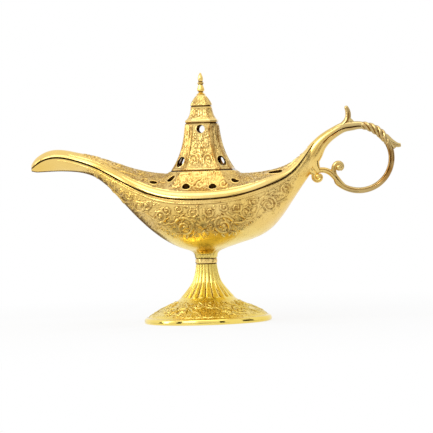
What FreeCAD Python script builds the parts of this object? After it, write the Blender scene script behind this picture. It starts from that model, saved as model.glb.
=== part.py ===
"""Footed lamp-shaped incense burner: a boat-shaped bowl with a spout and a loop handle, a lift-off cover
with a pierced tower, and a fluted pedestal, as separate castings held by screws. Millimetres, +Z up.
The origin is on the pedestal's axis, at the surface that the foot stands on. The spout points to -X."""

import FreeCAD, Part
import math
import os

import Sketcher

Vector = FreeCAD.Vector
UP = Vector(0, 0, 1)
ACROSS = Vector(0, 1, 0)

doc = FreeCAD.newDocument("footed_lamp")
sheet = doc.addObject("Spreadsheet::Sheet", "Sizes")

# Driving dimensions, in millimetres unless the name says otherwise
DIMENSIONS = {
    # pedestal, from the floor up
    "foot_diameter": 70.8,
    "foot_edge_height": 2.0,
    "foot_edge_round": 2.4,
    "foot_wall": 2.2,
    "shoulder_diameter": 32.0,
    "shoulder_height": 12.3,
    "shoulder_wall": 2.6,
    "stem_diameter": 11.2,
    "stem_waist": 17.6,
    "pedestal_height": 32.0,
    "flute_count": 20,
    "flute_radius": 0.55,
    # collar ring between stem and bowl
    "collar_diameter": 11.8,
    "collar_bulge": 0.35,
    "collar_height": 3.4,
    # centre bolt with its washer and nut
    "bolt_diameter": 4.0,
    "bolt_clearance": 0.2,
    "bolt_head_diameter": 7.2,
    "bolt_head_height": 2.6,
    "bolt_slot": 1.0,
    "washer_diameter": 12.0,
    "washer_thickness": 1.0,
    "nut_flats": 7.0,
    "nut_height": 3.2,
    "thread_clearance": 0.05,
    "bolt_end": 1.0,
    # bowl floor
    "neck_height": 3.4,
    "neck_flare_diameter": 25.0,
    "neck_flare_height": 4.4,
    "boss_diameter": 12.0,
    "boss_height": 2.0,
    # incense dish
    "dish_floor_diameter": 16.0,
    "dish_mouth_diameter": 25.0,
    "dish_height": 5.0,
    "dish_wall": 1.0,
    # hull of bowl and cover
    "hull_wall": 1.6,
    "seat_gap": 0.3,
    "tail_gap": 0.4,
    "band_height": 4.4,
    "band_inset": 3.2,
    # stations along the hull: place on X, half width at the rim, rise of the rim above the waist's,
    # depth of the bowl below the rim, and rise of the cover's crest above the rim
    "mouth_place": -96.3,
    "mouth_half_width": 4.0,
    "mouth_sheer": 19.6,
    "mouth_depth": 1.9,
    "mouth_crest": 4.0,
    "beak_place": -91.5,
    "beak_half_width": 5.8,
    "beak_sheer": 22.8,
    "beak_depth": 5.0,
    "beak_crest": 4.5,
    "nozzle_place": -84.0,
    "nozzle_half_width": 6.6,
    "nozzle_sheer": 25.3,
    "nozzle_depth": 7.3,
    "nozzle_crest": 4.7,
    "spout_place": -72.0,
    "spout_half_width": 7.4,
    "spout_sheer": 23.7,
    "spout_depth": 6.3,
    "spout_crest": 5.0,
    "throat_place": -58.0,
    "throat_half_width": 11.5,
    "throat_sheer": 18.6,
    "throat_depth": 6.2,
    "throat_crest": 6.6,
    "fore_place": -42.0,
    "fore_half_width": 23.0,
    "fore_sheer": 10.3,
    "fore_depth": 14.4,
    "fore_crest": 9.0,
    "quarter_place": -23.0,
    "quarter_half_width": 32.0,
    "quarter_sheer": 2.4,
    "quarter_depth": 24.0,
    "quarter_crest": 12.6,
    "waist_place": 0.0,
    "waist_half_width": 35.0,
    "waist_depth": 29.3,
    "waist_crest": 14.2,
    "aft_place": 21.0,
    "aft_half_width": 31.6,
    "aft_sheer": 1.7,
    "aft_depth": 26.1,
    "aft_crest": 12.0,
    "heel_place": 40.0,
    "heel_half_width": 20.0,
    "heel_sheer": 7.6,
    "heel_depth": 22.0,
    "heel_crest": 8.0,
    "tail_place": 52.0,
    "tail_half_width": 9.4,
    "tail_sheer": 15.4,
    "tail_depth": 13.6,
    "tail_crest": 5.6,
    "tip_place": 60.0,
    "tip_half_width": 3.8,
    "tip_sheer": 26.0,
    "tip_depth": 13.2,
    "tip_crest": 2.6,
    # lugs under the cover that sit inside the bowl's rim
    "lug_spread": 12.0,
    "lug_width": 6.0,
    "lug_thickness": 1.6,
    "lug_clearance": 1.8,
    "lug_reach": 4.0,
    "lug_root": 4.0,
    # smoke vents through the deck
    "vent_diameter": 3.8,
    "bow_vent_place": -25.8,
    "bow_vent_side": 21.5,
    "corner_vent_place": -16.2,
    "corner_vent_side": 18.9,
    "fore_vent_place": -7.4,
    "fore_vent_side": 26.6,
    "beam_vent_place": 7.2,
    "beam_vent_side": 27.0,
    "stern_vent_place": 19.1,
    "stern_vent_side": 20.1,
    "slit_place": 40.5,
    "slit_side": 10.0,
    "slit_length": 8.0,
    "slit_width": 2.6,
    # tower on the cover: half width over its broad faces at each level, and heights above its seat
    "tower_face_share": 0.6,
    "tower_base": 17.6,
    "tower_skirt": 14.2,
    "tower_skirt_height": 6.0,
    "tower_shaft": 11.3,
    "tower_shaft_height": 13.0,
    "tower_neck": 8.9,
    "tower_neck_height": 26.4,
    "ledge": 9.2,
    "ledge_height": 1.6,
    "lantern_base": 8.0,
    "lantern_top": 5.4,
    "lantern_height": 7.6,
    "eave": 5.7,
    "eave_height": 1.2,
    "dome_middle": 4.2,
    "dome_middle_height": 3.0,
    "dome_top": 2.5,
    "dome_height": 5.4,
    "flue_diameter": 26.0,
    "flue_neck_diameter": 14.4,
    "flue_top_diameter": 6.0,
    "flue_top_height": 31.0,
    "smoke_hole_diameter": 4.8,
    "upper_hole_drop": 0.7,
    "lower_hole_height": 5.4,
    "plinth_top": 18.2,
    "plinth_base": 26.6,
    "plinth_height": 9.2,
    "plinth_seat_rise": 1.4,
    "tower_screw_diameter": 2.0,
    "tower_screw_place": 11.4,
    "tower_screw_grip": 2.2,
    "tower_screw_bite": 3.0,
    "tower_screw_head": 3.6,
    "tower_screw_head_height": 1.3,
    # finial on the tower
    "finial_stud_diameter": 2.4,
    "finial_stud_length": 4.0,
    "finial_base_diameter": 5.0,
    "finial_height": 12.4,
    "finial_bead": 3.6,
    "finial_tip": 1.8,
    # loop handle
    "loop_radius": 18.0,
    "loop_reach": 26.5,
    "loop_rise": 0.7,
    "loop_bar": 3.3,
    "loop_start_degrees": 100.0,
    "loop_end_degrees": 126.0,
    "sleeve_bar": 4.6,
    "sleeve_start_degrees": 80.0,
    "sleeve_end_degrees": 28.0,
    "leaf_reach": 6.6,
    "leaf_bar": 1.6,
    "arm_bar": 7.2,
    "arm_width": 6.4,
    "arm_end_bar": 4.4,
    "spur_height": 10.8,
    "spur_lean": 2.4,
    "spur_bar": 3.4,
    "spur_tip_bar": 1.6,
    "scroll_bar": 2.6,
    "scroll_run": 13.0,
    "scroll_radius": 2.1,
    "curl_bend": 8.0,
    "curl_stem": 2.9,
    "curl_radius": 2.1,
    # screw that holds the handle, from inside the bowl
    "handle_screw_diameter": 3.0,
    "handle_screw_angle_degrees": 50.0,
    "handle_screw_grip": 8.0,
    "handle_screw_bite": 7.0,
    "handle_screw_head": 4.4,
    "handle_screw_head_height": 2.0,
}

for row, (alias, number) in enumerate(DIMENSIONS.items(), start=1):
    sheet.set(f"A{row}", alias)
    sheet.set(f"B{row}", str(number))
    sheet.setAlias(f"B{row}", alias)
doc.recompute()


class Size:
    """A length that carries its value and the spreadsheet expression that gives it."""

    def __init__(self, value, text):
        self.value = float(value)
        self.text = text

    def joined(self, sign, other, value):
        return Size(value, f"({self.text} {sign} {as_size(other).text})")

    def __add__(self, other):
        return self.joined("+", other, self.value + as_size(other).value)

    def __sub__(self, other):
        return self.joined("-", other, self.value - as_size(other).value)

    def __mul__(self, other):
        return self.joined("*", other, self.value * as_size(other).value)

    def __truediv__(self, other):
        return self.joined("/", other, self.value / as_size(other).value)

    def __neg__(self):
        return as_size(0) - self


def as_size(thing):
    return thing if isinstance(thing, Size) else Size(thing, str(thing))


def size(alias):
    """The spreadsheet's cell of that alias, for a sketch or a feature."""
    return Size(sheet.get(alias), f"Sizes.{alias}")


def mm(alias):
    """The spreadsheet's cell of that alias, as a number."""
    return float(sheet.get(alias))


ZERO = as_size(0)


# Sketches and features

def new_body(label):
    body = doc.addObject("PartDesign::Body", label)
    body.Label = label
    return body


def origin_feature(body, role):
    return next(f for f in body.Origin.OriginFeatures if f.Role == role)


def new_sketch(body, role, height=None, turn_degrees=0):
    """A sketch on one of the body's origin planes, raised along its normal or turned about its own Y."""
    sketch = body.newObject("Sketcher::SketchObject", f"{body.Label}_sketch")
    sketch.AttachmentSupport = [(origin_feature(body, role), "")]
    sketch.MapMode = "FlatFace"
    turn = FreeCAD.Rotation(Vector(0, 1, 0), turn_degrees)
    sketch.AttachmentOffset = FreeCAD.Placement(Vector(0, 0, 0), turn)
    if height is not None:
        sketch.setExpression("AttachmentOffset.Base.z", height.text)
    return sketch


def flat(point):
    return Vector(as_size(point[0]).value, as_size(point[1]).value, 0)


def hold_point(sketch, geometry, end, point):
    """Fixes one point of a sketch's geometry at a pair of sizes from the sketch's origin."""
    for kind, axis, length in (("DistanceX", -2, point[0]), ("DistanceY", -1, point[1])):
        length = as_size(length)
        if length.text == "0":
            sketch.addConstraint(Sketcher.Constraint("PointOnObject", geometry, end, axis))
            continue
        datum = Sketcher.Constraint(kind, -1, 1, geometry, end, length.value)
        sketch.setExpression(f"Constraints[{sketch.addConstraint(datum)}]", length.text)


def outline(sketch, corners):
    """A closed outline through corners, pairs of sizes. A third entry is a point that an arc to that corner passes."""
    ends = []
    for before, corner in zip(corners[-1:] + corners[:-1], corners):
        start, finish = flat(before), flat(corner)
        if len(corner) == 2:
            ends.append((sketch.addGeometry(Part.LineSegment(start, finish), False), 1, 2))
            continue
        through = flat(corner[2])
        arc = sketch.addGeometry(Part.Arc(start, through, finish), False)
        turns_left = (through - start).cross(finish - start).z > 0
        ends.append((arc, 1, 2) if turns_left else (arc, 2, 1))
        mark = sketch.addGeometry(Part.Point(through), True)
        hold_point(sketch, mark, 1, corner[2])
        sketch.addConstraint(Sketcher.Constraint("PointOnObject", mark, 1, arc))
    for (geometry, _, finish), (following, start, _) in zip(ends, ends[1:] + ends[:1]):
        sketch.addConstraint(Sketcher.Constraint("Coincident", geometry, finish, following, start))
    for (geometry, _, finish), corner in zip(ends, corners):
        hold_point(sketch, geometry, finish, corner)


def circle(sketch, centre, diameter):
    ring = sketch.addGeometry(Part.Circle(flat(centre), UP, diameter.value / 2), False)
    hold_point(sketch, ring, 3, centre)
    datum = sketch.addConstraint(Sketcher.Constraint("Diameter", ring, diameter.value))
    sketch.setExpression(f"Constraints[{datum}]", diameter.text)


def revolved(label, corners):
    """A body turned about Z from an outline of (radius, height) corners."""
    body = new_body(label)
    sketch = new_sketch(body, "XZ_Plane")
    outline(sketch, corners)
    turn = body.newObject("PartDesign::Revolution", f"{label}_turned")
    turn.Profile = sketch
    turn.ReferenceAxis = (sketch, ["V_Axis"])
    turn.Angle = 360
    return body


def pocket(body, sketch, midplane=True):
    """A cut through the whole body, to both sides of its sketch or along its normal alone."""
    cut = body.newObject("PartDesign::Pocket", f"{body.Label}_cut")
    cut.Profile = sketch
    cut.Type = "ThroughAll"
    cut.Midplane = midplane
    return cut


def polar(body, feature, count):
    pattern = body.newObject("PartDesign::PolarPattern", f"{body.Label}_pattern")
    pattern.Originals = [feature]
    pattern.Axis = (origin_feature(body, "Z_Axis"), [""])
    pattern.Angle = 360
    pattern.setExpression("Occurrences", as_size(count).text)
    body.Tip = pattern
    return pattern


def placed_shape(label, shape):
    feature = doc.addObject("Part::Feature", label)
    feature.Label = label
    feature.Shape = shape
    feature.Placement = FreeCAD.Placement()
    return feature


# Levels along the pedestal's axis
BOLT_HOLE = size("bolt_diameter") / 2 + size("bolt_clearance")
WASHER_TOP = size("shoulder_height") - size("shoulder_wall")
WASHER_BOTTOM = WASHER_TOP - size("washer_thickness")
COLLAR_BOTTOM = size("pedestal_height")
COLLAR_TOP = COLLAR_BOTTOM + size("collar_height")
BOWL_FLOOR = COLLAR_TOP + size("neck_height")
BOSS_TOP = BOWL_FLOOR + size("hull_wall") + size("boss_height")
NUT_BOTTOM = BOSS_TOP + size("dish_wall")
NUT_TOP = NUT_BOTTOM + size("nut_height")
WAIST_RIM = BOWL_FLOOR + size("waist_depth")


def make_pedestal():
    foot = size("foot_diameter") / 2
    edge = size("foot_edge_height")
    rounding = size("foot_edge_round")
    shoulder = (size("shoulder_diameter") / 2, size("shoulder_height"))
    stem = (size("stem_diameter") / 2, size("pedestal_height"))
    waist = (size("stem_waist") / 2, (shoulder[1] + stem[1] * 0.6) / 1.6)
    inside = foot - size("foot_wall")
    body = revolved("pedestal", [
        (foot, ZERO),
        (foot, edge),
        (foot - rounding, edge + rounding, (foot - rounding * 0.3, edge + rounding * 0.7)),
        shoulder,
        (*stem, waist),
        (BOLT_HOLE, stem[1]),
        (BOLT_HOLE, WASHER_TOP),
        (shoulder[0] - size("shoulder_wall"), WASHER_TOP),
        (inside, edge),
        (inside, ZERO),
    ])
    path = new_sketch(body, "XZ_Plane")
    line = path.addGeometry(Part.Arc(flat(stem), flat(waist), flat(shoulder)), False)
    hold_point(path, line, 1, stem)
    hold_point(path, line, 2, shoulder)
    mark = path.addGeometry(Part.Point(flat(waist)), True)
    hold_point(path, mark, 1, waist)
    path.addConstraint(Sketcher.Constraint("PointOnObject", mark, 1, line))
    tool = new_sketch(body, "XY_Plane", stem[1])
    circle(tool, (stem[0], ZERO), size("flute_radius") * 2)
    doc.recompute()
    flute = body.newObject("PartDesign::SubtractivePipe", "flute")
    flute.Profile = tool
    flute.Spine = (path, ["Edge1"])
    doc.recompute()
    polar(body, flute, size("flute_count"))
    return body


def make_collar_ring():
    radius = size("collar_diameter") / 2
    middle = COLLAR_BOTTOM + size("collar_height") / 2
    return revolved("collar_ring", [
        (BOLT_HOLE, COLLAR_BOTTOM),
        (radius, COLLAR_BOTTOM),
        (radius, COLLAR_TOP, (radius + size("collar_bulge"), middle)),
        (BOLT_HOLE, COLLAR_TOP),
    ])


def make_foot_washer():
    rim = size("washer_diameter") / 2
    return revolved("foot_washer", [
        (BOLT_HOLE, WASHER_BOTTOM),
        (rim, WASHER_BOTTOM),
        (rim, WASHER_TOP),
        (BOLT_HOLE, WASHER_TOP),
    ])


def make_foot_bolt():
    head = size("bolt_head_diameter") / 2
    low = WASHER_BOTTOM - size("bolt_head_height")
    body = revolved("foot_bolt", [
        (ZERO, low),
        (head * 0.7, low),
        (head, WASHER_BOTTOM, (head * 0.93, low + size("bolt_head_height") * 0.4)),
        (size("bolt_diameter") / 2, WASHER_BOTTOM),
        (size("bolt_diameter") / 2, NUT_TOP + size("bolt_end")),
        (ZERO, NUT_TOP + size("bolt_end")),
    ])
    slot = new_sketch(body, "XZ_Plane")
    half = size("bolt_slot") / 2
    bottom = low + size("bolt_head_height") / 2
    outline(slot, [(-half, low - half), (half, low - half), (half, bottom), (-half, bottom)])
    pocket(body, slot)
    return body


def make_bowl_nut():
    body = new_body("bowl_nut")
    sketch = new_sketch(body, "XY_Plane", NUT_BOTTOM)
    corner = size("nut_flats") / math.sqrt(3)
    turns = [math.radians(60 * step) for step in range(6)]
    outline(sketch, [(corner * math.cos(turn), corner * math.sin(turn)) for turn in turns])
    circle(sketch, (ZERO, ZERO), size("bolt_diameter") + size("thread_clearance") * 2)
    block = body.newObject("PartDesign::Pad", "nut_block")
    block.Profile = sketch
    block.setExpression("Length", size("nut_height").text)
    return body


def make_incense_dish():
    wall = size("dish_wall")
    floor = size("dish_floor_diameter") / 2
    mouth = size("dish_mouth_diameter") / 2
    top = BOSS_TOP + size("dish_height")
    belly = (floor + mouth) / 2 + wall
    return revolved("incense_dish", [
        (BOLT_HOLE, BOSS_TOP),
        (floor, BOSS_TOP),
        (mouth, top, (belly, BOSS_TOP + size("dish_height") / 3)),
        (mouth - wall, top),
        (floor, BOSS_TOP + wall, (belly - wall, BOSS_TOP + wall + size("dish_height") / 3)),
        (BOLT_HOLE, BOSS_TOP + wall),
    ])


# Hull of bowl and cover: cross-sections at named stations from the spout's mouth to the tail's tip
STATIONS = [
    "mouth", "beak", "nozzle", "spout", "throat", "fore", "quarter", "waist", "aft", "heel", "tail", "tip",
]
# Cubic that stands for a quarter of an ellipse
ROUNDNESS = 0.5523
# How far a cutting shape runs past the face that it opens
OVERRUN = 1.0


def rim_height(station):
    return WAIST_RIM.value + (0 if station == "waist" else mm(f"{station}_sheer"))


def keel_height(station):
    return rim_height(station) - mm(f"{station}_depth")


def crest_height(station):
    return rim_height(station) + mm(f"{station}_crest")


def curve(*poles):
    bezier = Part.BezierCurve()
    bezier.setPoles(list(poles))
    return bezier.toShape()


def mirrored_wire(place, half, curves):
    """A closed section at place on X: curves of (y, z) poles for the right half from the lower flat's end to
    the centre line, their mirror images, and the flat line between their two ends."""
    right = [curve(*[Vector(place, y, z) for y, z in poles]) for poles in curves]
    left = [curve(*[Vector(place, -y, z) for y, z in reversed(poles)]) for poles in reversed(curves)]
    height = curves[0][0][1]
    close = Part.LineSegment(Vector(place, -half, height), Vector(place, half, height)).toShape()
    return Part.Wire(right + left + [close])


def bowl_section(station, wall=0.0, past_rim=OVERRUN, shift=0.0):
    """The bowl's section, drawn past the rim so that the rim's sheet can trim it."""
    half = mm(f"{station}_half_width") - wall
    rim = rim_height(station) + past_rim
    keel = keel_height(station) + wall
    depth = rim - keel
    side = [(half, rim), (half, rim - depth * ROUNDNESS), (half * ROUNDNESS, keel), (0, keel)]
    return mirrored_wire(mm(f"{station}_place") + shift, half, [side])


def cover_section(station, wall=0.0, past_rim=OVERRUN, shift=0.0):
    """The cover's section: a sloping rim band and a domed deck, drawn past the rim as the bowl's is."""
    half = mm(f"{station}_half_width") - wall
    crest = crest_height(station) - wall
    rise = min(mm("band_height"), mm(f"{station}_crest") / 2)
    inset = min(mm("band_inset"), mm(f"{station}_half_width") / 4)
    run = half - inset
    band = rim_height(station) + rise - wall / 2
    foot = half + inset * past_rim / rise
    edge = [(foot, rim_height(station) - past_rim), (run, band)]
    deck = [(run, band), (run * 0.72, band + (crest - band) * 0.36), (run * 0.45, crest), (0, crest)]
    return mirrored_wire(mm(f"{station}_place") + shift, foot, [edge, deck])


def loft(sections):
    shape = Part.makeLoft(sections, True, False)
    return shape if shape.Volume > 0 else shape.reversed()


def hollow(sections, beyond):
    """The space inside the hull: it opens through the spout's mouth and ends short of the solid tail."""
    space = loft([beyond] + sections)
    box = space.BoundBox
    behind = Part.makeBox(box.XLength, box.YLength, box.ZLength, Vector(mm("tail_place"), box.YMin, box.ZMin))
    return space.cut(behind)


def rim_points():
    """The rim's line in the plane of symmetry, run straight on past the mouth and the tip."""
    points = [Vector(mm(f"{station}_place"), 0, rim_height(station)) for station in STATIONS]
    ahead = points[0] + (points[0] - points[1]).normalize() * (4 * OVERRUN)
    astern = points[-1] + (points[-1] - points[-2]).normalize() * (4 * OVERRUN)
    return [ahead] + points + [astern]


def beyond_rim(gap, level):
    """Everything between the rim's line, moved up by gap square to it, and a level above or below the hull."""
    line = Part.BSplineCurve()
    line.interpolate(rim_points())
    offset = []
    for point in rim_points():
        along = Vector(*line.tangent(line.parameter(point))[0])
        offset.append(point + along.cross(ACROSS).normalize() * gap)
    moved = Part.BSplineCurve()
    moved.interpolate(offset)
    first, last = offset[0], offset[-1]
    corners = [last, Vector(last.x, 0, level), Vector(first.x, 0, level), first]
    sides = [Part.LineSegment(start, end).toShape() for start, end in zip(corners, corners[1:])]
    width = 4 * mm("waist_half_width")
    face = Part.Face(Part.Wire([moved.toShape()] + sides))
    return face.extrude(Vector(0, width, 0)).translated(Vector(0, -width / 2, 0))


def drilled(direction, start, length, diameter):
    return Part.makeCylinder(diameter / 2, length, start, direction)


def handle_joint():
    """Centre of the flat face where the handle meets the bowl's tail."""
    return Vector(mm("tip_place"), 0, (rim_height("tip") + keel_height("tip")) / 2)


def handle_screw_axis():
    turn = math.radians(mm("handle_screw_angle_degrees"))
    return Vector(math.cos(turn), 0, math.sin(turn))


def make_bowl():
    wall = mm("hull_wall")
    outer = loft([bowl_section(station) for station in STATIONS])
    inner = hollow([bowl_section(station, wall, 2 * OVERRUN) for station in STATIONS],
                   bowl_section("mouth", wall, 2 * OVERRUN, -OVERRUN))
    low = COLLAR_TOP.value
    flare = mm("neck_flare_diameter") / 2
    top = BOWL_FLOOR.value + mm("neck_flare_height")
    neck = mm("collar_diameter") / 2
    profile = Part.Wire([
        Part.LineSegment(Vector(0, 0, low), Vector(neck, 0, low)).toShape(),
        curve(Vector(neck, 0, low), Vector(neck, 0, BOWL_FLOOR.value), Vector(flare, 0, top)),
        Part.LineSegment(Vector(flare, 0, top), Vector(0, 0, top)).toShape(),
        Part.LineSegment(Vector(0, 0, top), Vector(0, 0, low)).toShape(),
    ])
    stalk = Part.Face(profile).revolve(Vector(0, 0, 0), UP, 360)
    boss = drilled(UP, Vector(0, 0, BOWL_FLOOR.value), BOSS_TOP.value - BOWL_FLOOR.value, mm("boss_diameter"))
    above = beyond_rim(0, 2 * crest_height("tip"))
    shell = outer.cut(above).fuse(stalk).cut(inner).fuse(boss)
    bolt_hole = drilled(UP, Vector(0, 0, low - OVERRUN), BOSS_TOP.value - low + 2 * OVERRUN, 2 * BOLT_HOLE.value)
    axis = handle_screw_axis()
    seat = handle_joint() - axis * mm("handle_screw_grip")
    head_room = mm("handle_screw_head") + 2 * mm("bolt_clearance")
    pocket_length = mm("handle_screw_head_height") + mm("handle_screw_grip") / 2
    screw_hole = drilled(axis, seat, mm("handle_screw_grip") + mm("handle_screw_head"),
                         mm("handle_screw_diameter") + 2 * mm("bolt_clearance"))
    spot_face = drilled(axis, seat - axis * pocket_length, pocket_length, head_room)
    return placed_shape("bowl", shell.cut([bolt_hole, screw_hole, spot_face]).removeSplitter())


# Seat of the tower on the cover
TOWER_SEAT = WAIST_RIM + size("waist_crest") + size("plinth_seat_rise")


def octagon_points(half):
    """Corners of the tower's plan: four broad faces and four narrow ones at the corners."""
    face = half * mm("tower_face_share")
    quarter = [(half, -face), (half, face), (face, half), (-face, half)]
    return quarter + [(-x, -y) for x, y in quarter]


def octagon_wire(half, height):
    points = [Vector(mm("waist_place") + x, y, height) for x, y in octagon_points(half)]
    return Part.makePolygon(points + points[:1])


def make_cover():
    wall = mm("hull_wall")
    outer = loft([cover_section(station) for station in STATIONS])
    inner = hollow([cover_section(station, wall, 2 * OVERRUN) for station in STATIONS],
                   cover_section("mouth", wall, 2 * OVERRUN, -OVERRUN))
    seat = TOWER_SEAT.value
    waist = mm("waist_place")
    waist_width = mm("waist_half_width")
    plinth = Part.makeLoft([
        octagon_wire(mm("plinth_base"), seat - mm("plinth_height")),
        octagon_wire(mm("plinth_top"), seat),
    ], True, True)
    below = beyond_rim(mm("seat_gap"), 0)
    behind = Part.makeBox(crest_height("tip"), 2 * waist_width, 2 * crest_height("tip"),
                          Vector(mm("tip_place") - mm("tail_gap"), -waist_width, 0))
    shell = outer.cut([below, behind]).fuse(plinth).cut(inner)
    lug_bottom = rim_height("waist") - mm("lug_reach")
    lug_top = rim_height("waist") + mm("lug_root")
    lugs = []
    for fore_aft in (-1, 1):
        for side in (-1, 1):
            outside = waist_width - wall - mm("lug_clearance")
            inside = outside - mm("lug_thickness")
            corner = Vector(waist + fore_aft * mm("lug_spread") / 2 - mm("lug_width") / 2,
                            inside if side > 0 else -outside, lug_bottom)
            lugs.append(Part.makeBox(mm("lug_width"), mm("lug_thickness"), lug_top - lug_bottom, corner))
    shell = shell.fuse(lugs)
    depth = mm("plinth_height") + mm("waist_crest")
    cuts = [drilled(UP, Vector(waist, 0, seat - depth), depth + OVERRUN, mm("flue_diameter"))]
    tall = depth + 3 * OVERRUN
    for vent in ("bow_vent", "corner_vent", "fore_vent", "beam_vent", "stern_vent"):
        for side in (-1, 1):
            spot = Vector(waist + mm(f"{vent}_place"), side * mm(f"{vent}_side"), seat - depth)
            cuts.append(drilled(UP, spot, tall, mm("vent_diameter")))
    for side in (-1, 1):
        corner = Vector(waist + mm("slit_place") - mm("slit_length") / 2,
                        side * mm("slit_side") - mm("slit_width") / 2, seat - depth)
        cuts.append(Part.makeBox(mm("slit_length"), mm("slit_width"), tall + depth, corner))
    for x, y in tower_screw_spots():
        start = Vector(waist + x, y, seat - depth)
        grip = mm("tower_screw_grip")
        cuts.append(drilled(UP, start, depth + OVERRUN, mm("tower_screw_diameter") + mm("bolt_clearance")))
        cuts.append(drilled(UP, start, depth - grip, mm("tower_screw_head") + mm("bolt_clearance")))
    return placed_shape("cover", shell.cut(cuts).removeSplitter())


def tower_screw_spots():
    reach = mm("tower_screw_place")
    return [(x * reach, y * reach) for x in (-1, 1) for y in (-1, 1)]


def octagon_sketch(body, half, height):
    face = half * size("tower_face_share")
    place = size("waist_place")
    quarter = [(half, -face), (half, face), (face, half), (-face, half)]
    corners = quarter + [(-x, -y) for x, y in quarter]
    sketch = new_sketch(body, "XY_Plane", height)
    outline(sketch, [(place + x, y) for x, y in corners])
    return sketch


def tower_stage(body, *levels):
    """A loft through octagons of (half width, height)."""
    sketches = [octagon_sketch(body, half, height) for half, height in levels]
    doc.recompute()
    stage = body.newObject("PartDesign::AdditiveLoft", "tower_stage")
    stage.Profile = sketches[0]
    stage.Sections = sketches[1:]
    doc.recompute()
    return stage


def make_tower():
    body = new_body("tower")
    neck = TOWER_SEAT + size("tower_neck_height")
    ledge_top = neck + size("ledge_height")
    lantern_top = ledge_top + size("lantern_height")
    eave_top = lantern_top + size("eave_height")
    top = eave_top + size("dome_height")
    tower_stage(
        body,
        (size("tower_base"), TOWER_SEAT),
        (size("tower_skirt"), TOWER_SEAT + size("tower_skirt_height")),
        (size("tower_shaft"), TOWER_SEAT + size("tower_shaft_height")),
        (size("tower_neck"), neck),
    )
    tower_stage(body, (size("ledge"), neck), (size("ledge") - size("ledge_height") / 3, ledge_top))
    tower_stage(
        body,
        (size("lantern_base"), ledge_top),
        ((size("lantern_base") + size("lantern_top")) / 2 - 0.4, ledge_top + size("lantern_height") * 0.4),
        (size("lantern_top"), lantern_top),
    )
    tower_stage(body, (size("eave"), lantern_top), (size("eave"), eave_top))
    tower_stage(
        body,
        (size("eave"), eave_top),
        (size("dome_middle"), eave_top + size("dome_middle_height")),
        (size("dome_top"), top),
    )
    place = size("waist_place")
    flue = new_sketch(body, "XZ_Plane")
    flue_top = TOWER_SEAT + size("flue_top_height")
    outline(flue, [
        (place, TOWER_SEAT - OVERRUN),
        (place + size("flue_diameter") / 2, TOWER_SEAT - OVERRUN),
        (place + size("flue_diameter") / 2, TOWER_SEAT),
        (place + size("flue_neck_diameter") / 2, neck),
        (place + size("flue_top_diameter") / 2, flue_top),
        (place, flue_top),
    ])
    groove = body.newObject("PartDesign::Groove", "flue")
    groove.Profile = flue
    groove.ReferenceAxis = (flue, ["V_Axis"])
    groove.Angle = 360
    stud = new_sketch(body, "XZ_Plane")
    hole = size("finial_stud_diameter") / 2 + size("thread_clearance")
    stud_bottom = top - size("finial_stud_length") - size("thread_clearance")
    outline(stud, [(place, stud_bottom), (place + hole, stud_bottom), (place + hole, top + OVERRUN),
                   (place, top + OVERRUN)])
    socket = body.newObject("PartDesign::Groove", "finial_socket")
    socket.Profile = stud
    socket.ReferenceAxis = (stud, ["V_Axis"])
    socket.Angle = 360
    doc.recompute()
    upper = new_sketch(body, "XZ_Plane")
    circle(upper, (ZERO, neck - size("upper_hole_drop") - size("smoke_hole_diameter") / 2),
           size("smoke_hole_diameter"))
    polar(body, pocket(body, upper, midplane=False), 4)
    doc.recompute()
    lower = new_sketch(body, "XZ_Plane", turn_degrees=45)
    circle(lower, (ZERO, TOWER_SEAT + size("lower_hole_height")), size("smoke_hole_diameter"))
    polar(body, pocket(body, lower, midplane=False), 4)
    doc.recompute()
    screws = new_sketch(body, "XY_Plane", TOWER_SEAT + size("tower_screw_bite") + size("thread_clearance"))
    for x, y in ((-1, -1), (-1, 1), (1, -1), (1, 1)):
        reach = size("tower_screw_place")
        circle(screws, (reach * x, reach * y), size("tower_screw_diameter") + size("thread_clearance") * 2)
    pocket(body, screws, midplane=False)
    return body


def make_finial():
    base = TOWER_SEAT
    for part in ("tower_neck_height", "ledge_height", "lantern_height", "eave_height", "dome_height"):
        base = base + size(part)
    tall = size("finial_height")
    foot = size("finial_base_diameter") / 2
    bead = size("finial_bead") / 2
    tip = size("finial_tip") / 2
    stud = size("finial_stud_diameter") / 2
    return revolved("finial", [
        (ZERO, base - size("finial_stud_length")),
        (stud, base - size("finial_stud_length")),
        (stud, base),
        (foot, base),
        (tip, base + tall * 0.2, (foot * 0.72, base + tall * 0.1)),
        (tip, base + tall * 0.44, (bead, base + tall * 0.33)),
        (tip, base + tall * 0.68, (bead * 0.95, base + tall * 0.57)),
        (tip * 0.4, base + tall, (tip * 1.1, base + tall * 0.84)),
        (ZERO, base + tall),
    ])


def make_tower_screws():
    """Four pan-head screws up through the cover's deck into the tower's corners."""
    seat = TOWER_SEAT.value - mm("tower_screw_grip")
    solids = []
    for x, y in tower_screw_spots():
        start = Vector(mm("waist_place") + x, y, seat)
        shank = drilled(UP, start, mm("tower_screw_grip") + mm("tower_screw_bite"), mm("tower_screw_diameter"))
        head = drilled(-UP, start, mm("tower_screw_head_height"), mm("tower_screw_head"))
        solids.append(shank.fuse(head).removeSplitter())
    return placed_shape("tower_screws", Part.makeCompound(solids))


# Loop handle, drawn in the plane of symmetry

def disc(centre, direction, diameter):
    return Part.Face(Part.Wire(Part.Circle(centre, direction, diameter / 2).toShape()))


def oval(centre, direction, thick, wide):
    """An ellipse square to direction, thick in the plane of symmetry and wide across it."""
    upright = direction.cross(ACROSS).normalize()
    corners = [upright * (thick / 2), ACROSS * (wide / 2), upright * (-thick / 2), ACROSS * (-wide / 2)]
    quarters = []
    for start, end in zip(corners, corners[1:] + corners[:1]):
        bulge = (start + end * ROUNDNESS, end + start * ROUNDNESS)
        quarters.append(curve(*[centre + pole for pole in (start, *bulge, end)]))
    return Part.Wire(quarters)


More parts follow.
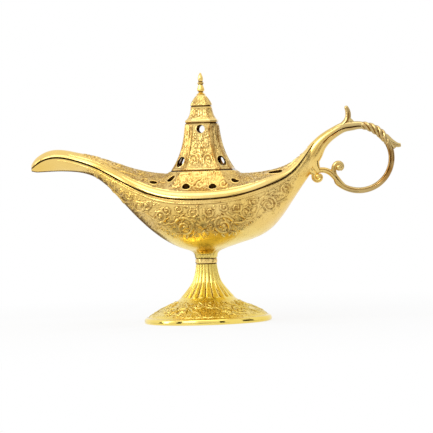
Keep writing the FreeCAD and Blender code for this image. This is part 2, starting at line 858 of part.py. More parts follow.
def tapered(stations):
    """A bar through ovals of (centre, direction, thick, wide), along a smooth line through their centres."""
    line = Part.BSplineCurve()
    line.interpolate([centre for centre, _, _, _ in stations])
    shell = Part.BRepOffsetAPI.MakePipeShell(Part.Wire(line.toShape()))
    shell.setBiNormalMode(ACROSS)
    for station in stations:
        shell.add(oval(*station))
    shell.build()
    shell.makeSolid()
    return shell.shape()


def heading(degrees):
    return Vector(math.cos(math.radians(degrees)), 0, math.sin(math.radians(degrees)))


def bend(start, direction_degrees, radius, turn_degrees, diameter):
    """A round bar bent from start, to the left for a positive turn. Returns it with its end and heading."""
    side = 90 if turn_degrees > 0 else -90
    centre = start + heading(direction_degrees + side) * radius
    bar = disc(start, heading(direction_degrees), diameter).revolve(centre, -ACROSS, turn_degrees)
    end = centre - heading(direction_degrees + turn_degrees + side) * radius
    return bar, end, direction_degrees + turn_degrees


def straight(start, direction_degrees, length, diameter):
    bar = drilled(heading(direction_degrees), start, length, diameter)
    return bar, start + heading(direction_degrees) * length, direction_degrees


def ball(centre, diameter):
    return Part.makeSphere(diameter / 2, centre)


def loop_centre():
    joint = handle_joint()
    return joint + Vector(mm("loop_reach"), 0, mm("loop_rise"))


def loop_point(degrees):
    return loop_centre() + heading(degrees) * mm("loop_radius")


def make_handle():
    joint = handle_joint()
    bar = mm("loop_bar")
    first, last = mm("loop_start_degrees"), -mm("loop_end_degrees")
    ring, ring_end, run = bend(loop_point(first), first - 90, mm("loop_radius"), last - first, bar)
    arm_end = loop_point(first)
    span = arm_end - joint
    arm_stations = [(0.30, 0.50, 52, 1.0), (0.58, 0.80, 36, 0.78)]
    stations = [(joint, Vector(1, 0, 0), mm("tip_depth"), 2 * mm("tip_half_width"))]
    for along, up, slope, share in arm_stations:
        centre = joint + Vector(span.x * along, 0, span.z * up)
        stations.append((centre, heading(slope), mm("arm_bar") * share, mm("arm_width") * share))
    stations.append((arm_end, heading(first - 90), mm("arm_end_bar"), mm("arm_end_bar")))
    arm = tapered(stations)
    sleeve_first, sleeve_last = mm("sleeve_start_degrees"), mm("sleeve_end_degrees")
    sleeve, _, _ = bend(loop_point(sleeve_first), sleeve_first - 90, mm("loop_radius"),
                        sleeve_last - sleeve_first, mm("sleeve_bar"))
    leaf_root = loop_point(sleeve_last)
    leaf = Part.makeCone(mm("sleeve_bar") / 2, mm("leaf_bar") / 2, mm("leaf_reach"), leaf_root, heading(-14))
    pieces = [ring, sleeve, leaf, ball(leaf_root, mm("sleeve_bar"))]
    spur_root = arm_end + Vector(-mm("loop_bar"), 0, 0)
    spur_middle = spur_root + Vector(mm("spur_lean"), 0, mm("spur_height") * 0.55)
    spur_tip = spur_root + Vector(mm("spur_lean") / 2, 0, mm("spur_height"))
    spur_bar = (mm("spur_bar") + mm("spur_tip_bar")) / 2
    pieces.append(tapered([
        (spur_root, heading(60), mm("spur_bar"), mm("spur_bar")),
        (spur_middle, heading(85), spur_bar, spur_bar),
        (spur_tip, heading(110), mm("spur_tip_bar"), mm("spur_tip_bar")),
    ]))
    thin = mm("scroll_bar")
    strand, strand_end, facing = straight(ring_end, run, mm("scroll_run"), thin)
    scroll, scroll_end, _ = bend(strand_end, facing, mm("scroll_radius"), 290, thin)
    web = drilled(heading(100), strand_end, mm("tip_depth") / 2, thin)
    stem, stem_end, _ = bend(ring_end, run, mm("curl_bend"), (90 - run) % 360 - 360, thin)
    upright, upright_end, _ = straight(stem_end, 90, mm("curl_stem"), thin)
    curl, curl_end, _ = bend(upright_end, 90, mm("curl_radius"), -250, thin)
    pieces += [strand, scroll, ball(scroll_end, thin), web, stem, upright, curl, ball(curl_end, thin)]
    pieces.append(ball(ring_end, bar))
    shape = arm.fuse(pieces)
    screw = mm("handle_screw_diameter")
    tapped = drilled(handle_screw_axis(), joint - handle_screw_axis() * (2 * screw),
                     mm("handle_screw_bite") + 2 * screw + mm("thread_clearance"),
                     screw + 2 * mm("thread_clearance"))
    return placed_shape("handle", shape.cut(tapped).removeSplitter())


def make_handle_screw():
    axis = handle_screw_axis()
    seat = handle_joint() - axis * mm("handle_screw_grip")
    shank = drilled(axis, seat, mm("handle_screw_grip") + mm("handle_screw_bite"), mm("handle_screw_diameter"))
    head = drilled(-axis, seat, mm("handle_screw_head_height"), mm("handle_screw_head"))
    return placed_shape("handle_screw", shank.fuse(head).removeSplitter())


SUBPARTS = [
    make_pedestal(), make_collar_ring(), make_foot_washer(), make_foot_bolt(), make_bowl(),
    make_incense_dish(), make_bowl_nut(), make_handle(), make_handle_screw(),
    make_cover(), make_tower(), make_finial(), make_tower_screws(),
]


def check_document():
    doc.recompute()
    for thing in doc.Objects:
        if {"Invalid", "Error"} & set(thing.State):
            raise RuntimeError(f"{thing.Label} failed to build: {thing.State}")
    for part in SUBPARTS:
        if part.Shape.isNull() or not part.Shape.isValid() or not part.Shape.Solids:
            raise RuntimeError(f"{part.Label} has no valid shape")


def write_parts():
    os.makedirs("parts", exist_ok=True)
    for part in SUBPARTS:
        part.Shape.exportStep(f"parts/{part.Label}.step")
        solids = part.Shape.Solids
        print(f"{part.Label}: {len(solids)} solid(s), {sum(s.Volume for s in solids):.1f} mm3")


check_document()
write_parts()
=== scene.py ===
import math
from functools import partial

import bpy
import numpy as np
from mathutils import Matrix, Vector
from mathutils.kdtree import KDTree


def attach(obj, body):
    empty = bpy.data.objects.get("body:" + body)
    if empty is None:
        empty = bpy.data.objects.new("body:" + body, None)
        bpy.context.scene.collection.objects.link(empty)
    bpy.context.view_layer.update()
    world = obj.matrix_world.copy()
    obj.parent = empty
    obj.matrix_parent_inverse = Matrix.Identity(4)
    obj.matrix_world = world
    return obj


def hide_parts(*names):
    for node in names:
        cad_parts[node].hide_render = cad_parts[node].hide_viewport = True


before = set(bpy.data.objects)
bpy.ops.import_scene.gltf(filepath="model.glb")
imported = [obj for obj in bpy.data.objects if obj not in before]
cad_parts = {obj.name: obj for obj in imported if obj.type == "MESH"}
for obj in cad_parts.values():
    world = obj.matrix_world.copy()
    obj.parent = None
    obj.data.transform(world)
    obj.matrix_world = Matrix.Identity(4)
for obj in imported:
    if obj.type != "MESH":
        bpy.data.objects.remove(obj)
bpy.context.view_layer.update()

# Shapes are in millimetres; materials, stage, lights and camera are in metres
MM = 0.001
rng = np.random.default_rng(7)


# Curves

def spline(points):
    """Natural cubic through (x, value) pairs, as a function of an array of x."""
    xs, ys = (np.array(column, float) for column in zip(*points))
    steps = np.diff(xs)
    slopes = np.diff(ys) / steps
    matrix = np.eye(len(xs))
    right = np.zeros(len(xs))
    for i in range(1, len(xs) - 1):
        matrix[i, i - 1:i + 2] = steps[i - 1], 2 * (steps[i - 1] + steps[i]), steps[i]
        right[i] = 6 * (slopes[i] - slopes[i - 1])
    bends = np.linalg.solve(matrix, right)

    def value(x):
        x = np.asarray(x, float)
        k = np.clip(np.searchsorted(xs, x) - 1, 0, len(steps) - 1)
        a = (xs[k + 1] - x) / steps[k]
        b = 1 - a
        bow = (a ** 3 - a) * bends[k] + (b ** 3 - b) * bends[k + 1]
        return a * ys[k] + b * ys[k + 1] + bow * steps[k] ** 2 / 6

    return value


def linear(points):
    """Straight lines through (x, value) pairs, as a function of an array of x."""
    xs, ys = zip(*points)
    return lambda x: np.interp(x, xs, ys)


def bezier(t, first, second, third, last):
    """Cubic Bezier curve of four control values."""
    return ((1 - t) ** 3 * first + 3 * (1 - t) ** 2 * t * second
            + 3 * (1 - t) * t * t * third + t ** 3 * last)


def run_length(line):
    """Distance along a line of points, at each of them."""
    return np.concatenate([[0], np.cumsum(np.linalg.norm(np.diff(line, axis=0), axis=1))])


def smooth_path(points, count):
    """A smooth line through points, evenly sampled along its length."""
    samples_per_point = 40
    points = np.array(points, float)
    chord = run_length(points)
    fine = np.linspace(0, chord[-1], samples_per_point * len(points))
    line = np.stack([spline(list(zip(chord, column)))(fine) for column in points.T], axis=1)
    run = run_length(line)
    even = np.linspace(0, run[-1], count)
    return np.stack([np.interp(even, run, column) for column in line.T], axis=1)


def thirds(points):
    """A line of points with each step cut into three."""
    points = np.array(points, float)
    start, stop = points[:-1, None], points[1:, None]
    cut = start + (stop - start) * np.linspace(0, 1, 3, endpoint=False)[:, None]
    return np.vstack([cut.reshape(-1, points.shape[1]), points[-1:]])


def spaced(values, run):
    """Values set evenly along a length, read at shares of it."""
    return np.interp(run, np.linspace(0, 1, len(values)), values)


def ramp(x, low, high):
    """0 below low, 1 above high and a smooth rise between them."""
    t = np.clip((np.asarray(x, float) - low) / (high - low), 0, 1)
    return t * t * (3 - 2 * t)


def line_at(x, place, half, soft):
    """1 at a place and 0 further than half from it, with soft edges."""
    return ramp(half - np.abs(x - place), 0, soft)


def window(x, start, full, fading, end):
    """1 from full to fading, and 0 before start and after end."""
    return ramp(x, start, full) * ramp(end - x, 0, end - fading)


def full_turn(count):
    return np.linspace(0, 2 * np.pi, count, endpoint=False)


# Grids of points, and meshes

def rings(radius, height, count):
    """Rings of points about Z; the radius may also vary around each ring."""
    turn = full_turn(count)
    radius, height, turn = np.broadcast_arrays(radius, height, turn)
    return np.stack([radius * np.cos(turn), radius * np.sin(turn), height], axis=2)


def lathe(profile, count):
    """Rings of points about Z from (radius, height) pairs."""
    radius, height = np.array(profile, float).T[..., None]
    return rings(radius, height, count)


def grid_quads(rows, columns, wrap=False):
    index = np.arange(rows * columns).reshape(rows, columns)
    if wrap:
        index = np.concatenate([index, index[:, :1]], axis=1)
    corners = index[:-1, :-1], index[1:, :-1], index[1:, 1:], index[:-1, 1:]
    return np.stack(corners, axis=-1).reshape(-1, 4)


def grid_normals(points, wrap=False):
    """Unit normals of a grid of points. wrap joins the ends of its rows."""
    along = np.gradient(points, axis=0)
    if wrap:
        across = (np.roll(points, -1, axis=1) - np.roll(points, 1, axis=1)) / 2
    else:
        across = np.gradient(points, axis=1)
    normal = np.cross(along, across)
    return normal / np.maximum(np.linalg.norm(normal, axis=2, keepdims=True), 1e-9)


def cavity(raised, wrap=False):
    """How far each point of a relief grid lies in a crevice beside something raised, from 0 to 1."""
    reach, full_depth, contrast = 2, 0.11, 1.3
    padded = np.pad(raised, ((reach, reach), (0, 0)), mode="edge")
    padded = np.pad(padded, ((0, 0), (reach, reach)), mode="wrap" if wrap else "edge")
    rows, columns = raised.shape
    cells = range(2 * reach + 1)
    total = sum(padded[i:i + rows, j:j + columns] for i in cells for j in cells)
    return np.clip((total / len(cells) ** 2 - raised) / full_depth, 0, 1) ** contrast


def smooth_strip(strip, fine):
    """The strip's cross lines, redrawn with fine times the steps along a smooth curve."""
    count = strip.shape[1]
    at = np.linspace(0, count - 1, (count - 1) * fine + 1)
    low = np.clip(at.astype(int), 0, count - 2)
    part = (at - low)[None, :, None]
    before = strip[:, np.maximum(low - 1, 0)]
    start, stop = strip[:, low], strip[:, low + 1]
    after = strip[:, np.minimum(low + 2, count - 1)]
    leave, arrive = (stop - before) / 2, (after - start) / 2
    cubed, squared = part ** 3, part ** 2
    return (start * (2 * cubed - 3 * squared + 1) + leave * (cubed - 2 * squared + part)
            + stop * (3 * squared - 2 * cubed) + arrive * (cubed - squared))


class Build:
    """Collects patches of points and faces and makes one mesh of them. The materials read two values of each
    point: recess is 0 on clean metal, 1 in brown, which is patina in the relief's crevices and painted shade
    in grooves, holes, gaps and inner walls, and 2 or more in painted black shade; polish is from 0 to 2."""

    def __init__(self):
        self.points, self.faces, self.recess, self.polish = [], [], [], []
        self.count = 0

    def patch(self, points, faces, recess, polish):
        self.faces += [[index + self.count for index in face] for face in faces]
        self.count += len(points)
        self.points.append(points)
        self.recess.append(np.broadcast_to(recess, len(points)))
        self.polish.append(np.broadcast_to(polish, len(points)))

    def grid(self, points, wrap=False, flip=False, keep=None, recess=0.0, polish=0.0):
        """A grid of points as quads. keep picks the quads that stay."""
        shape = points.shape[:2]
        quads = grid_quads(*shape, wrap)
        if keep is not None:
            quads = quads[keep(quads)]
        if flip:
            quads = quads[:, ::-1]
        recess, polish = (np.broadcast_to(values, shape).reshape(-1) for values in (recess, polish))
        self.patch(points.reshape(-1, 3), quads.tolist(), recess, polish)

    def cap(self, ring, flip=False, recess=0.0, polish=0.0):
        """A flat end that closes a ring of points."""
        size = len(ring)
        faces = [[i, (i + 1) % size, size] for i in range(size)]
        if flip:
            faces = [face[::-1] for face in faces]
        self.patch(np.vstack([ring, ring.mean(axis=0)]), faces, recess, polish)

    def make(self, name, material, body, node, sharp_degrees):
        mesh = bpy.data.meshes.new(name)
        mesh.from_pydata((np.concatenate(self.points) * MM).tolist(), [], self.faces)
        for label, values in (("recess", self.recess), ("polish", self.polish)):
            layer = mesh.attributes.new(label, "FLOAT", "POINT")
            layer.data.foreach_set("value", np.concatenate(values).astype(np.float32))
        mesh.polygons.foreach_set("use_smooth", np.ones(len(mesh.polygons), dtype=bool))
        mesh.update()
        mesh.set_sharp_from_angle(angle=math.radians(sharp_degrees))
        mesh.materials.append(material)
        obj = bpy.data.objects.new(name, mesh)
        bpy.context.scene.collection.objects.link(obj)
        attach(obj, body)
        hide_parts(node)


# Ornament

def spiral(centre, outer, inner, start_degrees, turn_degrees, count):
    turn = np.radians(np.linspace(start_degrees, start_degrees + turn_degrees, count))
    radius = np.linspace(outer, inner, count)
    return np.stack([centre[0] + radius * np.cos(turn), centre[1] + radius * np.sin(turn)], axis=1)


def leaf(root, heading_degrees, length, bend_degrees, count=14):
    """A curved tapering leaf's middle line and half widths."""
    turn = np.radians(heading_degrees + np.linspace(0, bend_degrees, count))
    steps = np.stack([np.cos(turn), np.sin(turn)], axis=1) * (length / (count - 1))
    line = np.array(root, float) + np.cumsum(steps, axis=0)
    slimness, root_turn, tip_turn = 0.16, 0.25, np.pi * 0.97
    return line, length * slimness * np.sin(np.linspace(root_turn, tip_turn, count)) ** 0.8


def curls(low, high, pitch, inside):
    """Small scrolls and sprigs that fill an area: yields (line, half width) in the area's two coordinates."""
    jitter, row_pitch, scroll_share = 0.18, 0.9, 0.45
    outer, inner, leaf_length = pitch * 0.48, pitch * 0.12, pitch * 0.62
    leaf_lean, leaf_fullness = 70, 1.25
    for p in np.arange(low[0], high[0], pitch):
        for row, q in enumerate(np.arange(low[1], high[1], pitch * row_pitch)):
            centre = np.array([p + (row % 2) * pitch / 2, q]) + rng.uniform(-jitter, jitter, 2) * pitch
            hand = rng.choice([-1, 1])
            start = rng.uniform(0, 360)
            if not inside(*centre):
                continue
            if rng.random() < scroll_share:
                yield spiral(centre, outer, inner, start, hand * 360, 26), inner
                continue
            for lean in (-leaf_lean, 0, leaf_lean):
                line, half = leaf(centre, start + lean, leaf_length, hand * leaf_lean, 10)
                yield line, half * leaf_fullness


class Ornament:
    """Raised strokes on a surface. lay puts a line in the surface's own two coordinates onto the surface."""

    LEAF_HEIGHT = 0.8

    def __init__(self, lay):
        self.lay = lay
        self.spots, self.widths, self.heights = [], [], []

    def stroke(self, line, width, height):
        """A ridge along a line, with a half width and a height for all of it or for each point."""
        spots = self.lay(line)
        self.spots.append(spots)
        self.widths.append(np.broadcast_to(width, len(spots)))
        self.heights.append(np.broadcast_to(height, len(spots)))

    def bead(self, centre, outer, inner, width, height, count):
        self.stroke(spiral(centre, outer, inner, 0, 330, count), width, height)

    def scroll(self, centre, outer, inner, start, turn, width, height, leaves=7):
        """A spiral with a bead in its eye and leaves on its back."""
        count, end_width, leaf_length = 90, 0.7, outer * 0.55
        lean, bend = math.copysign(35, turn), math.copysign(60, turn)
        line = spiral(centre, outer, inner, start, turn, count)
        self.stroke(line, np.linspace(width, width * end_width, count), height)
        self.bead(centre, inner * 0.5, inner * 0.2, inner * 0.5, height * 1.1, 8)
        for share in np.linspace(0.08, 0.75, leaves):
            root = line[int(share * (count - 1))]
            outward = math.degrees(math.atan2(*(root - np.array(centre))[::-1]))
            self.stroke(*leaf(root, outward + lean, leaf_length, bend), height * self.LEAF_HEIGHT)

    def stem(self, points, width, leaves, height=0.5, length=3.4):
        """A bent stalk with leaves of the given length to both sides in turn."""
        count, end_width, lean, bend = 80, 0.55, 38, -55
        line = smooth_path(points, count)
        self.stroke(line, np.linspace(width, width * end_width, count), height)
        for k in range(leaves):
            at = int((k + 0.5) / leaves * (count - 1))
            run = line[min(at + 1, count - 1)] - line[at - 1]
            facing = math.degrees(math.atan2(run[1], run[0]))
            side = 1 if k % 2 else -1
            self.stroke(*leaf(line[at], facing + side * lean, length, side * bend), height * self.LEAF_HEIGHT)

    def palmette(self, root, length, heading, height):
        """A fan of leaves over a bead."""
        shorter, bend = 0.02, 0.3
        for lean in (-60, -36, -12, 12, 36, 60):
            self.stroke(*leaf(root, heading + lean, length - abs(lean) * shorter, lean * bend), height)
        self.bead(root, length * 0.16, 0.2, length * 0.15, height * 1.2, 10)

    def fill(self, low, high, pitch, height, inside):
        for line, width in curls(low, high, pitch, inside):
            self.stroke(line, width, height)

    def tree(self):
        spots = np.concatenate(self.spots)
        tree = KDTree(len(spots))
        for i, spot in enumerate(spots):
            tree.insert(spot, i)
        tree.balance()
        return tree

    def distance(self):
        """A function that gives a place's distance from the strokes drawn so far."""
        tree, lay = self.tree(), self.lay
        return lambda *place: tree.find(lay([place])[0])[2]

    def relief(self, points):
        """Height of the raised strokes at each point."""
        neighbours = 8
        tree = self.tree()
        widths, heights = np.concatenate(self.widths), np.concatenate(self.heights)
        reach = widths.max()
        flat = points.reshape(-1, 3)
        out = np.zeros(len(flat))
        for i, point in enumerate(flat):
            for _, k, distance in tree.find_n(point, neighbours):
                if distance > reach:
                    break
                share = distance / widths[k]
                if share < 1:
                    out[i] = max(out[i], heights[k] * math.sqrt(1 - share * share))
        return out.reshape(points.shape[:-1])


# Hull: heights of rim, keel and crest, and half width, at stations from the spout's tip to the tail
STATIONS = [-96.3, -91.5, -84, -72, -58, -42, -23, 0, 21, 40, 52, 60]
TIP, TAIL = STATIONS[0], STATIONS[-1]


def hull_line(values):
    return spline(list(zip(STATIONS, values)))


RIM = hull_line([87.7, 90.9, 93.4, 91.8, 86.7, 78.4, 70.5, 68.1, 69.8, 75.7, 83.5, 94.1])
KEEL = hull_line([85.8, 85.9, 86.1, 85.5, 80.5, 64.0, 46.5, 38.8, 43.7, 53.7, 69.9, 80.9])
CREST = hull_line([91.7, 95.4, 98.1, 96.8, 93.3, 87.4, 83.1, 82.3, 81.8, 83.7, 89.1, 96.7])
HALF = hull_line([4, 5.8, 6.6, 7.4, 11.5, 23, 32, 35, 31.6, 20, 9.4, 3.8])
NOSE_LENGTH, NOSE_START = 4.0, 0.3
TIP_DEPTH, TIP_BAND, TIP_CREST = 0.35, 0.5, 0.4
WALL, LEAST_SIZE, BORE = 1.5, 0.05, 2.3
# Recess values that paint black shade into the seat and along the seams where the cover meets the bowl and
# the tower meets the deck
SEAT_GAP, SEAT_SHADE, SEAM_SHADE = 0.3, 3, 2.2


def nose(x):
    """Share of its full width that the hull has at x, for a rounded end of the spout."""
    t = np.clip((x - TIP + NOSE_START) / NOSE_LENGTH, 0, 1)
    return np.sqrt(1 - (1 - t) ** 2)


def taper(x, least):
    """Share of its full height that the hull has at x, where the spout's tip has the least."""
    return least + (1 - least) * nose(x)


# Bowl
INNER_TIP, INNER_TAIL = TIP + 0.6, 53
LIP_INSET = 0.25
# Heights over the rim of the seat's outer and inner edge
LIP_LEVELS = (-0.05, 0.27)
SEAM_HEIGHT, SEAM_SOFT = 0.36, 0.2
FLANK_SPAN = (-80, -62, 46, 54)
FLANK_FLOOR = linear([(-80, 88.4), (-66, 85), (-56, 80.6), (-42, 66.6), (-30, 54.4), (-16, 47.6), (2, 46.6),
                      (18, 49), (30, 55.6), (42, 62.6), (50, 72.2), (56, 82.4)])
NECK_FOOT, NECK_CLEAN = 35.4, 36.2
NECK = [(6.0, 35.45), (6.15, 35.8), (6.3, 36.8), (6.6, 37.9), (7.6, 39.0), (9.8, 40.1), (12.8, 41.3),
        (15.6, 42.8)]
BOSS = [(2.2, 42.4), (5.7, 42.4), (6, 42.1), (6, 39.5)]


def bowl_surface(x, turn, inward=0.0):
    """The bowl at x, from the rim where turn is 0 to the keel at a quarter turn."""
    x, turn = np.broadcast_arrays(x, turn)
    half = np.maximum(HALF(x) * nose(x) - inward, LEAST_SIZE)
    depth = np.maximum((RIM(x) - KEEL(x)) * taper(x, TIP_DEPTH) - inward, LEAST_SIZE)
    return np.stack([x, half * np.cos(turn), RIM(x) - depth * np.sin(turn)], axis=-1)


def on_flank(line):
    """Points of (x, z) as seen from the side, laid on the near side of the bowl."""
    x, z = np.asarray(line, float).T
    share = np.clip((RIM(x) - z) / (RIM(x) - KEEL(x)), 0, 1)
    return bowl_surface(x, np.pi - np.arcsin(share))


def flank_ornament():
    """The bold relief of the bowl's side, and the small fill between its strokes."""
    bold, fill = Ornament(on_flank), Ornament(on_flank)
    # Large scrolls: centre, outer and inner radius, start and turn in degrees, half width, height
    for scroll in (
        ((-8.6, 53.2), 5.8, 1.3, 150, -520, 0.8, 0.7),
        ((12.6, 53.4), 5.8, 1.3, 30, 520, 0.8, 0.7),
        ((37.0, 64.2), 5.6, 1.3, 200, -470, 0.75, 0.65),
        ((-21.8, 60.0), 4.2, 1.1, 200, 430, 0.7, 0.62),
        ((-33.8, 66.0), 3.8, 1.0, 10, -420, 0.65, 0.6),
        ((25.2, 60.8), 3.8, 1.0, 300, -400, 0.62, 0.6),
        ((-44.5, 73.4), 2.4, 0.8, 210, 400, 0.45, 0.5),
        ((46.5, 72.4), 2.6, 0.8, 200, -400, 0.45, 0.5),
    ):
        bold.scroll(*scroll)
    # Uneven row under the rim: place, drop below the rim, radius, hand
    for x, drop, size, hand in (
        (-39, 5.6, 2.2, 1), (-29.5, 6.4, 3.1, -1), (-18, 6.6, 2.7, 1), (-11.4, 5.2, 2.0, -1),
        (-3.6, 6.8, 3.0, -1), (5.6, 7.0, 3.1, 1), (13.8, 5.3, 2.1, 1), (20.4, 6.6, 2.7, -1),
        (29.8, 6.0, 2.6, 1),
    ):
        bold.scroll((x, RIM(x) - drop), size, size * 0.27, 90 + 60 * hand, 430 * hand, 0.5, 0.5, 6)
    bold.stem([(-37, 62.7), (-30, 61.4), (-25, 57.7), (-18.5, 55.0), (-13.6, 56.2)], 0.7, 7)
    bold.stem([(17.4, 55.0), (24.5, 55.2), (30.4, 60.0), (33, 66.0), (39.6, 69.6)], 0.75, 8)
    bold.stem([(-52, 77.4), (-47, 71.8), (-41, 67.4), (-36.5, 68.8)], 0.55, 5)
    bold.stem([(41.6, 65.2), (46.2, 67.8), (49.4, 73.2), (51.6, 78.6)], 0.55, 5)
    bold.palmette((2.0, 53.0), 5.4, 90, 0.5)
    bold.palmette((2.0, 50.6), 3.4, 270, 0.4)
    border = np.linspace(-80, 57.5, 460)
    bold.stroke(np.stack([border, RIM(border) - 1.5 - 0.4 * ramp(border, -70, -40)], axis=1), 0.42, 0.34)
    distance = bold.distance()

    def free(x, z):
        return FLANK_FLOOR(x) < z < RIM(x) - 2.6 and distance(x, z) > 1.1

    fill.fill((-64, 42), (47, 90), 2.5, 0.34, free)
    return bold, fill


def add_bowl_inside(build, side):
    """The inner wall of one side, and the rim's seat for the cover."""
    mirror = np.array([1, -side, 1])
    x = np.linspace(INNER_TIP, INNER_TAIL, 120)
    inner = bowl_surface(x[:, None], np.linspace(0, np.pi / 2, 25), WALL)
    # Painted shade on the inner wall
    build.grid(inner * mirror, flip=side < 0, recess=0.25)
    edge = np.linspace(INNER_TIP, TAIL, 240)
    lip = np.stack([bowl_surface(edge, 0, inward) for inward in (LIP_INSET, WALL)], axis=1) * mirror
    lip[..., 2] = RIM(edge)[:, None] + np.array(LIP_LEVELS)
    # The seat is painted black shade, for the gap under the cover
    build.grid(lip, flip=side < 0, recess=SEAT_SHADE)


def add_bowl_neck(build):
    """The fluted neck over the collar, and the boss inside the bowl."""
    around, flute_depth, flute_middle = 240, 0.03, 0.8
    shade, flute_shade, flute_width = 0.25, 0.6, 0.35
    turned = lathe([(BORE, NECK_FOOT)] + smooth_path(NECK, 26).tolist(), around)
    flute = np.abs(np.cos(LOBES / 2 * full_turn(around)))
    turned[2:, :, :2] *= 1 + flute_depth * (flute - flute_middle)[None, :, None]
    dark = shade + flute_shade * ramp(flute_width - flute, 0, flute_width)
    dark = dark * ramp(turned[..., 2], NECK_FOOT + 0.1, NECK_CLEAN)
    build.grid(turned, wrap=True, flip=True, recess=dark, polish=1)
    # Painted shade on the boss inside the bowl
    build.grid(lathe(BOSS, 48), wrap=True, recess=0.3)


def make_bowl(material):
    rows, columns, crowding = 480, 150, 1.06
    field_depth, bold_shade, fill_shade = 0.2, 0.85, 0.5
    x = TIP + (TAIL - TIP) * np.linspace(0, 1, rows) ** crowding
    turn = np.linspace(0, np.pi / 2, columns)
    base = bowl_surface(x[:, None], turn) * np.array([1, -1, 1])
    normal = -grid_normals(base)
    place, height = base[..., 0], base[..., 2]
    from_rim = RIM(place) - height
    floor = FLANK_FLOOR(place)
    field = ramp(height, floor - 1.6, floor + 1.2) * ramp(from_rim, 0.8, 1.6) * window(place, *FLANK_SPAN)
    bold, fill = (ornament.relief(base) for ornament in flank_ornament())
    rise = (np.maximum(bold, fill) - field_depth * field) * ramp(turn, 0, 0.02)
    outer = base + normal * rise[..., None]
    outer[:, 0] = base[:, 0] - normal[:, 0] * LIP_INSET
    recess = field * np.clip(bold_shade * cavity(bold) + fill_shade * cavity(fill), 0, 1)
    # Painted black shade just under the rim, for the parting line with the cover
    recess = np.maximum(recess, SEAM_SHADE * ramp(SEAM_HEIGHT - from_rim, 0, SEAM_SOFT))
    polish = 0.5 * (1 - field) + 0.5 * ramp(-x, 55, 75)[:, None]
    for side, label in ((1, "near"), (-1, "far")):
        build = Build()
        shown = outer * np.array([1, side, 1])
        build.grid(shown, flip=side > 0, recess=recess, polish=polish)
        add_bowl_inside(build, side)
        tail = np.concatenate([shown[-1], shown[-1, :1] * np.array([1, 0, 1])])
        build.cap(tail, flip=side < 0, polish=1)
        if side > 0:
            add_bowl_neck(build)
        build.make(f"bowl_{label}_side", material, "base", "bowl", 50)


# Cover: a smooth band along the rim, a domed and pierced deck, and an eight-sided plinth for the tower
BAND_HEIGHT, BAND_INSET, BAND_FOOT, BAND_SEAT = 4.4, 3.2, 0.15, 0.12
DECK_SPAN = (-78, -66, 46, 52)
COVER_END = TAIL + 1.6
PLINTH_TOP, PLINTH_HALF, PLINTH_SLOPE = 83.7, 18.2, 1.05
FLUE_RADIUS, FLUE_FOOT = 12.7, 78.5
BROAD_FACE = 0.6
VENT_RADIUS, SLIT_LENGTH, SLIT_WIDTH = 2.1, 7.6, 5.0
VENTS = [(-25.8, 21.5), (-16.2, 18.9), (-7.4, 26.6), (7.2, 27.0), (19.1, 20.1)]
# Holes of one half of the deck: x, y, radius and half of a slit's straight length
DECK_HOLES = [(x, y, VENT_RADIUS, 0.0) for x, y in VENTS]
DECK_HOLES.append((40.7, 10.4, SLIT_WIDTH / 2, (SLIT_LENGTH - SLIT_WIDTH) / 2))
# A hole's edge: distance outside the hole, height over the deck, recess, which paints shade black down into
# the hole
DECK_HOLE_EDGE = [(0.7, -0.15, 0.6), (0.45, 0.16, 0.0), (0.12, 0.16, 0.0), (0.0, -0.1, 1.0), (0.0, -0.4, 3.0),
                  (0.0, -2.6, 4.0)]
# The band's section from the rim to the deck: shares of its inset and its height, swell, recess, which paints
# shade at the seam over the rim
BAND_SECTION = [(0.0, 0.0, -0.45, 2.6), (0.02, 0.06, 0.0, 0.7), (0.1, 0.2, 0.22, 0.0),
                (0.34, 0.48, 0.45, 0.0), (0.66, 0.78, 0.42, 0.0), (0.9, 0.95, 0.25, 0.0),
                (1.0, 1.0, 0.0, 0.0)]
LUG_PLACE, LUG_HALF_LENGTH, LUG_OUTER, LUG_INNER = 6, 3, 31.4, 30
LUG_LEVELS, LUG_TAPER = (72, 64.4, 64.1), 0.1


def octagon_reach(x, y):
    """Half width, over the broad faces, of the eight-sided outline through a point."""
    x, y = np.abs(x), np.abs(y)
    return np.maximum(np.maximum(x, y), (x + y) / (1 + BROAD_FACE))


def cover_lines(x):
    """Half width at the rim, half width of the deck, and the heights of the band's top and of the crest."""
    half = HALF(x) * nose(x)
    rise = np.minimum(BAND_HEIGHT, (CREST(x) - RIM(x)) / 2) * taper(x, TIP_BAND)
    run = half - np.minimum(BAND_INSET, half / 4)
    crest = RIM(x) + (CREST(x) - RIM(x)) * taper(x, TIP_CREST)
    return half, run, RIM(x) + rise, crest


def deck_height(x, y, plinth=True):
    """Height of the deck's top over a place in plan. Its section is half a Bezier arch."""
    bisections, blend = 22, 0.9
    x, y = np.broadcast_arrays(np.asarray(x, float), np.asarray(y, float))
    _, run, band, crest = cover_lines(x)
    share = np.clip(np.abs(y) / np.maximum(run, LEAST_SIZE), 0, 1)
    low, high = np.zeros_like(share), np.ones_like(share)
    for _ in range(bisections):
        t = (low + high) / 2
        beyond = bezier(t, 1, 0.72, 0.45, 0) > share
        low, high = np.where(beyond, t, low), np.where(beyond, high, t)
    height = band + (crest - band) * bezier((low + high) / 2, 0, 0.36, 1, 1)
    if plinth:
        reach = octagon_reach(x, y)
        over = PLINTH_TOP - PLINTH_SLOPE * np.maximum(reach - PLINTH_HALF, 0) - height
        height = height + 0.5 * (over + np.sqrt(over * over + blend))
        height = np.where(reach < PLINTH_HALF, np.minimum(height, PLINTH_TOP), height)
    return height


def on_deck(line):
    """Points of (x, y) in plan, laid on the deck."""
    x, y = np.asarray(line, float).T
    return np.stack([x, y, deck_height(x, y)], axis=1)


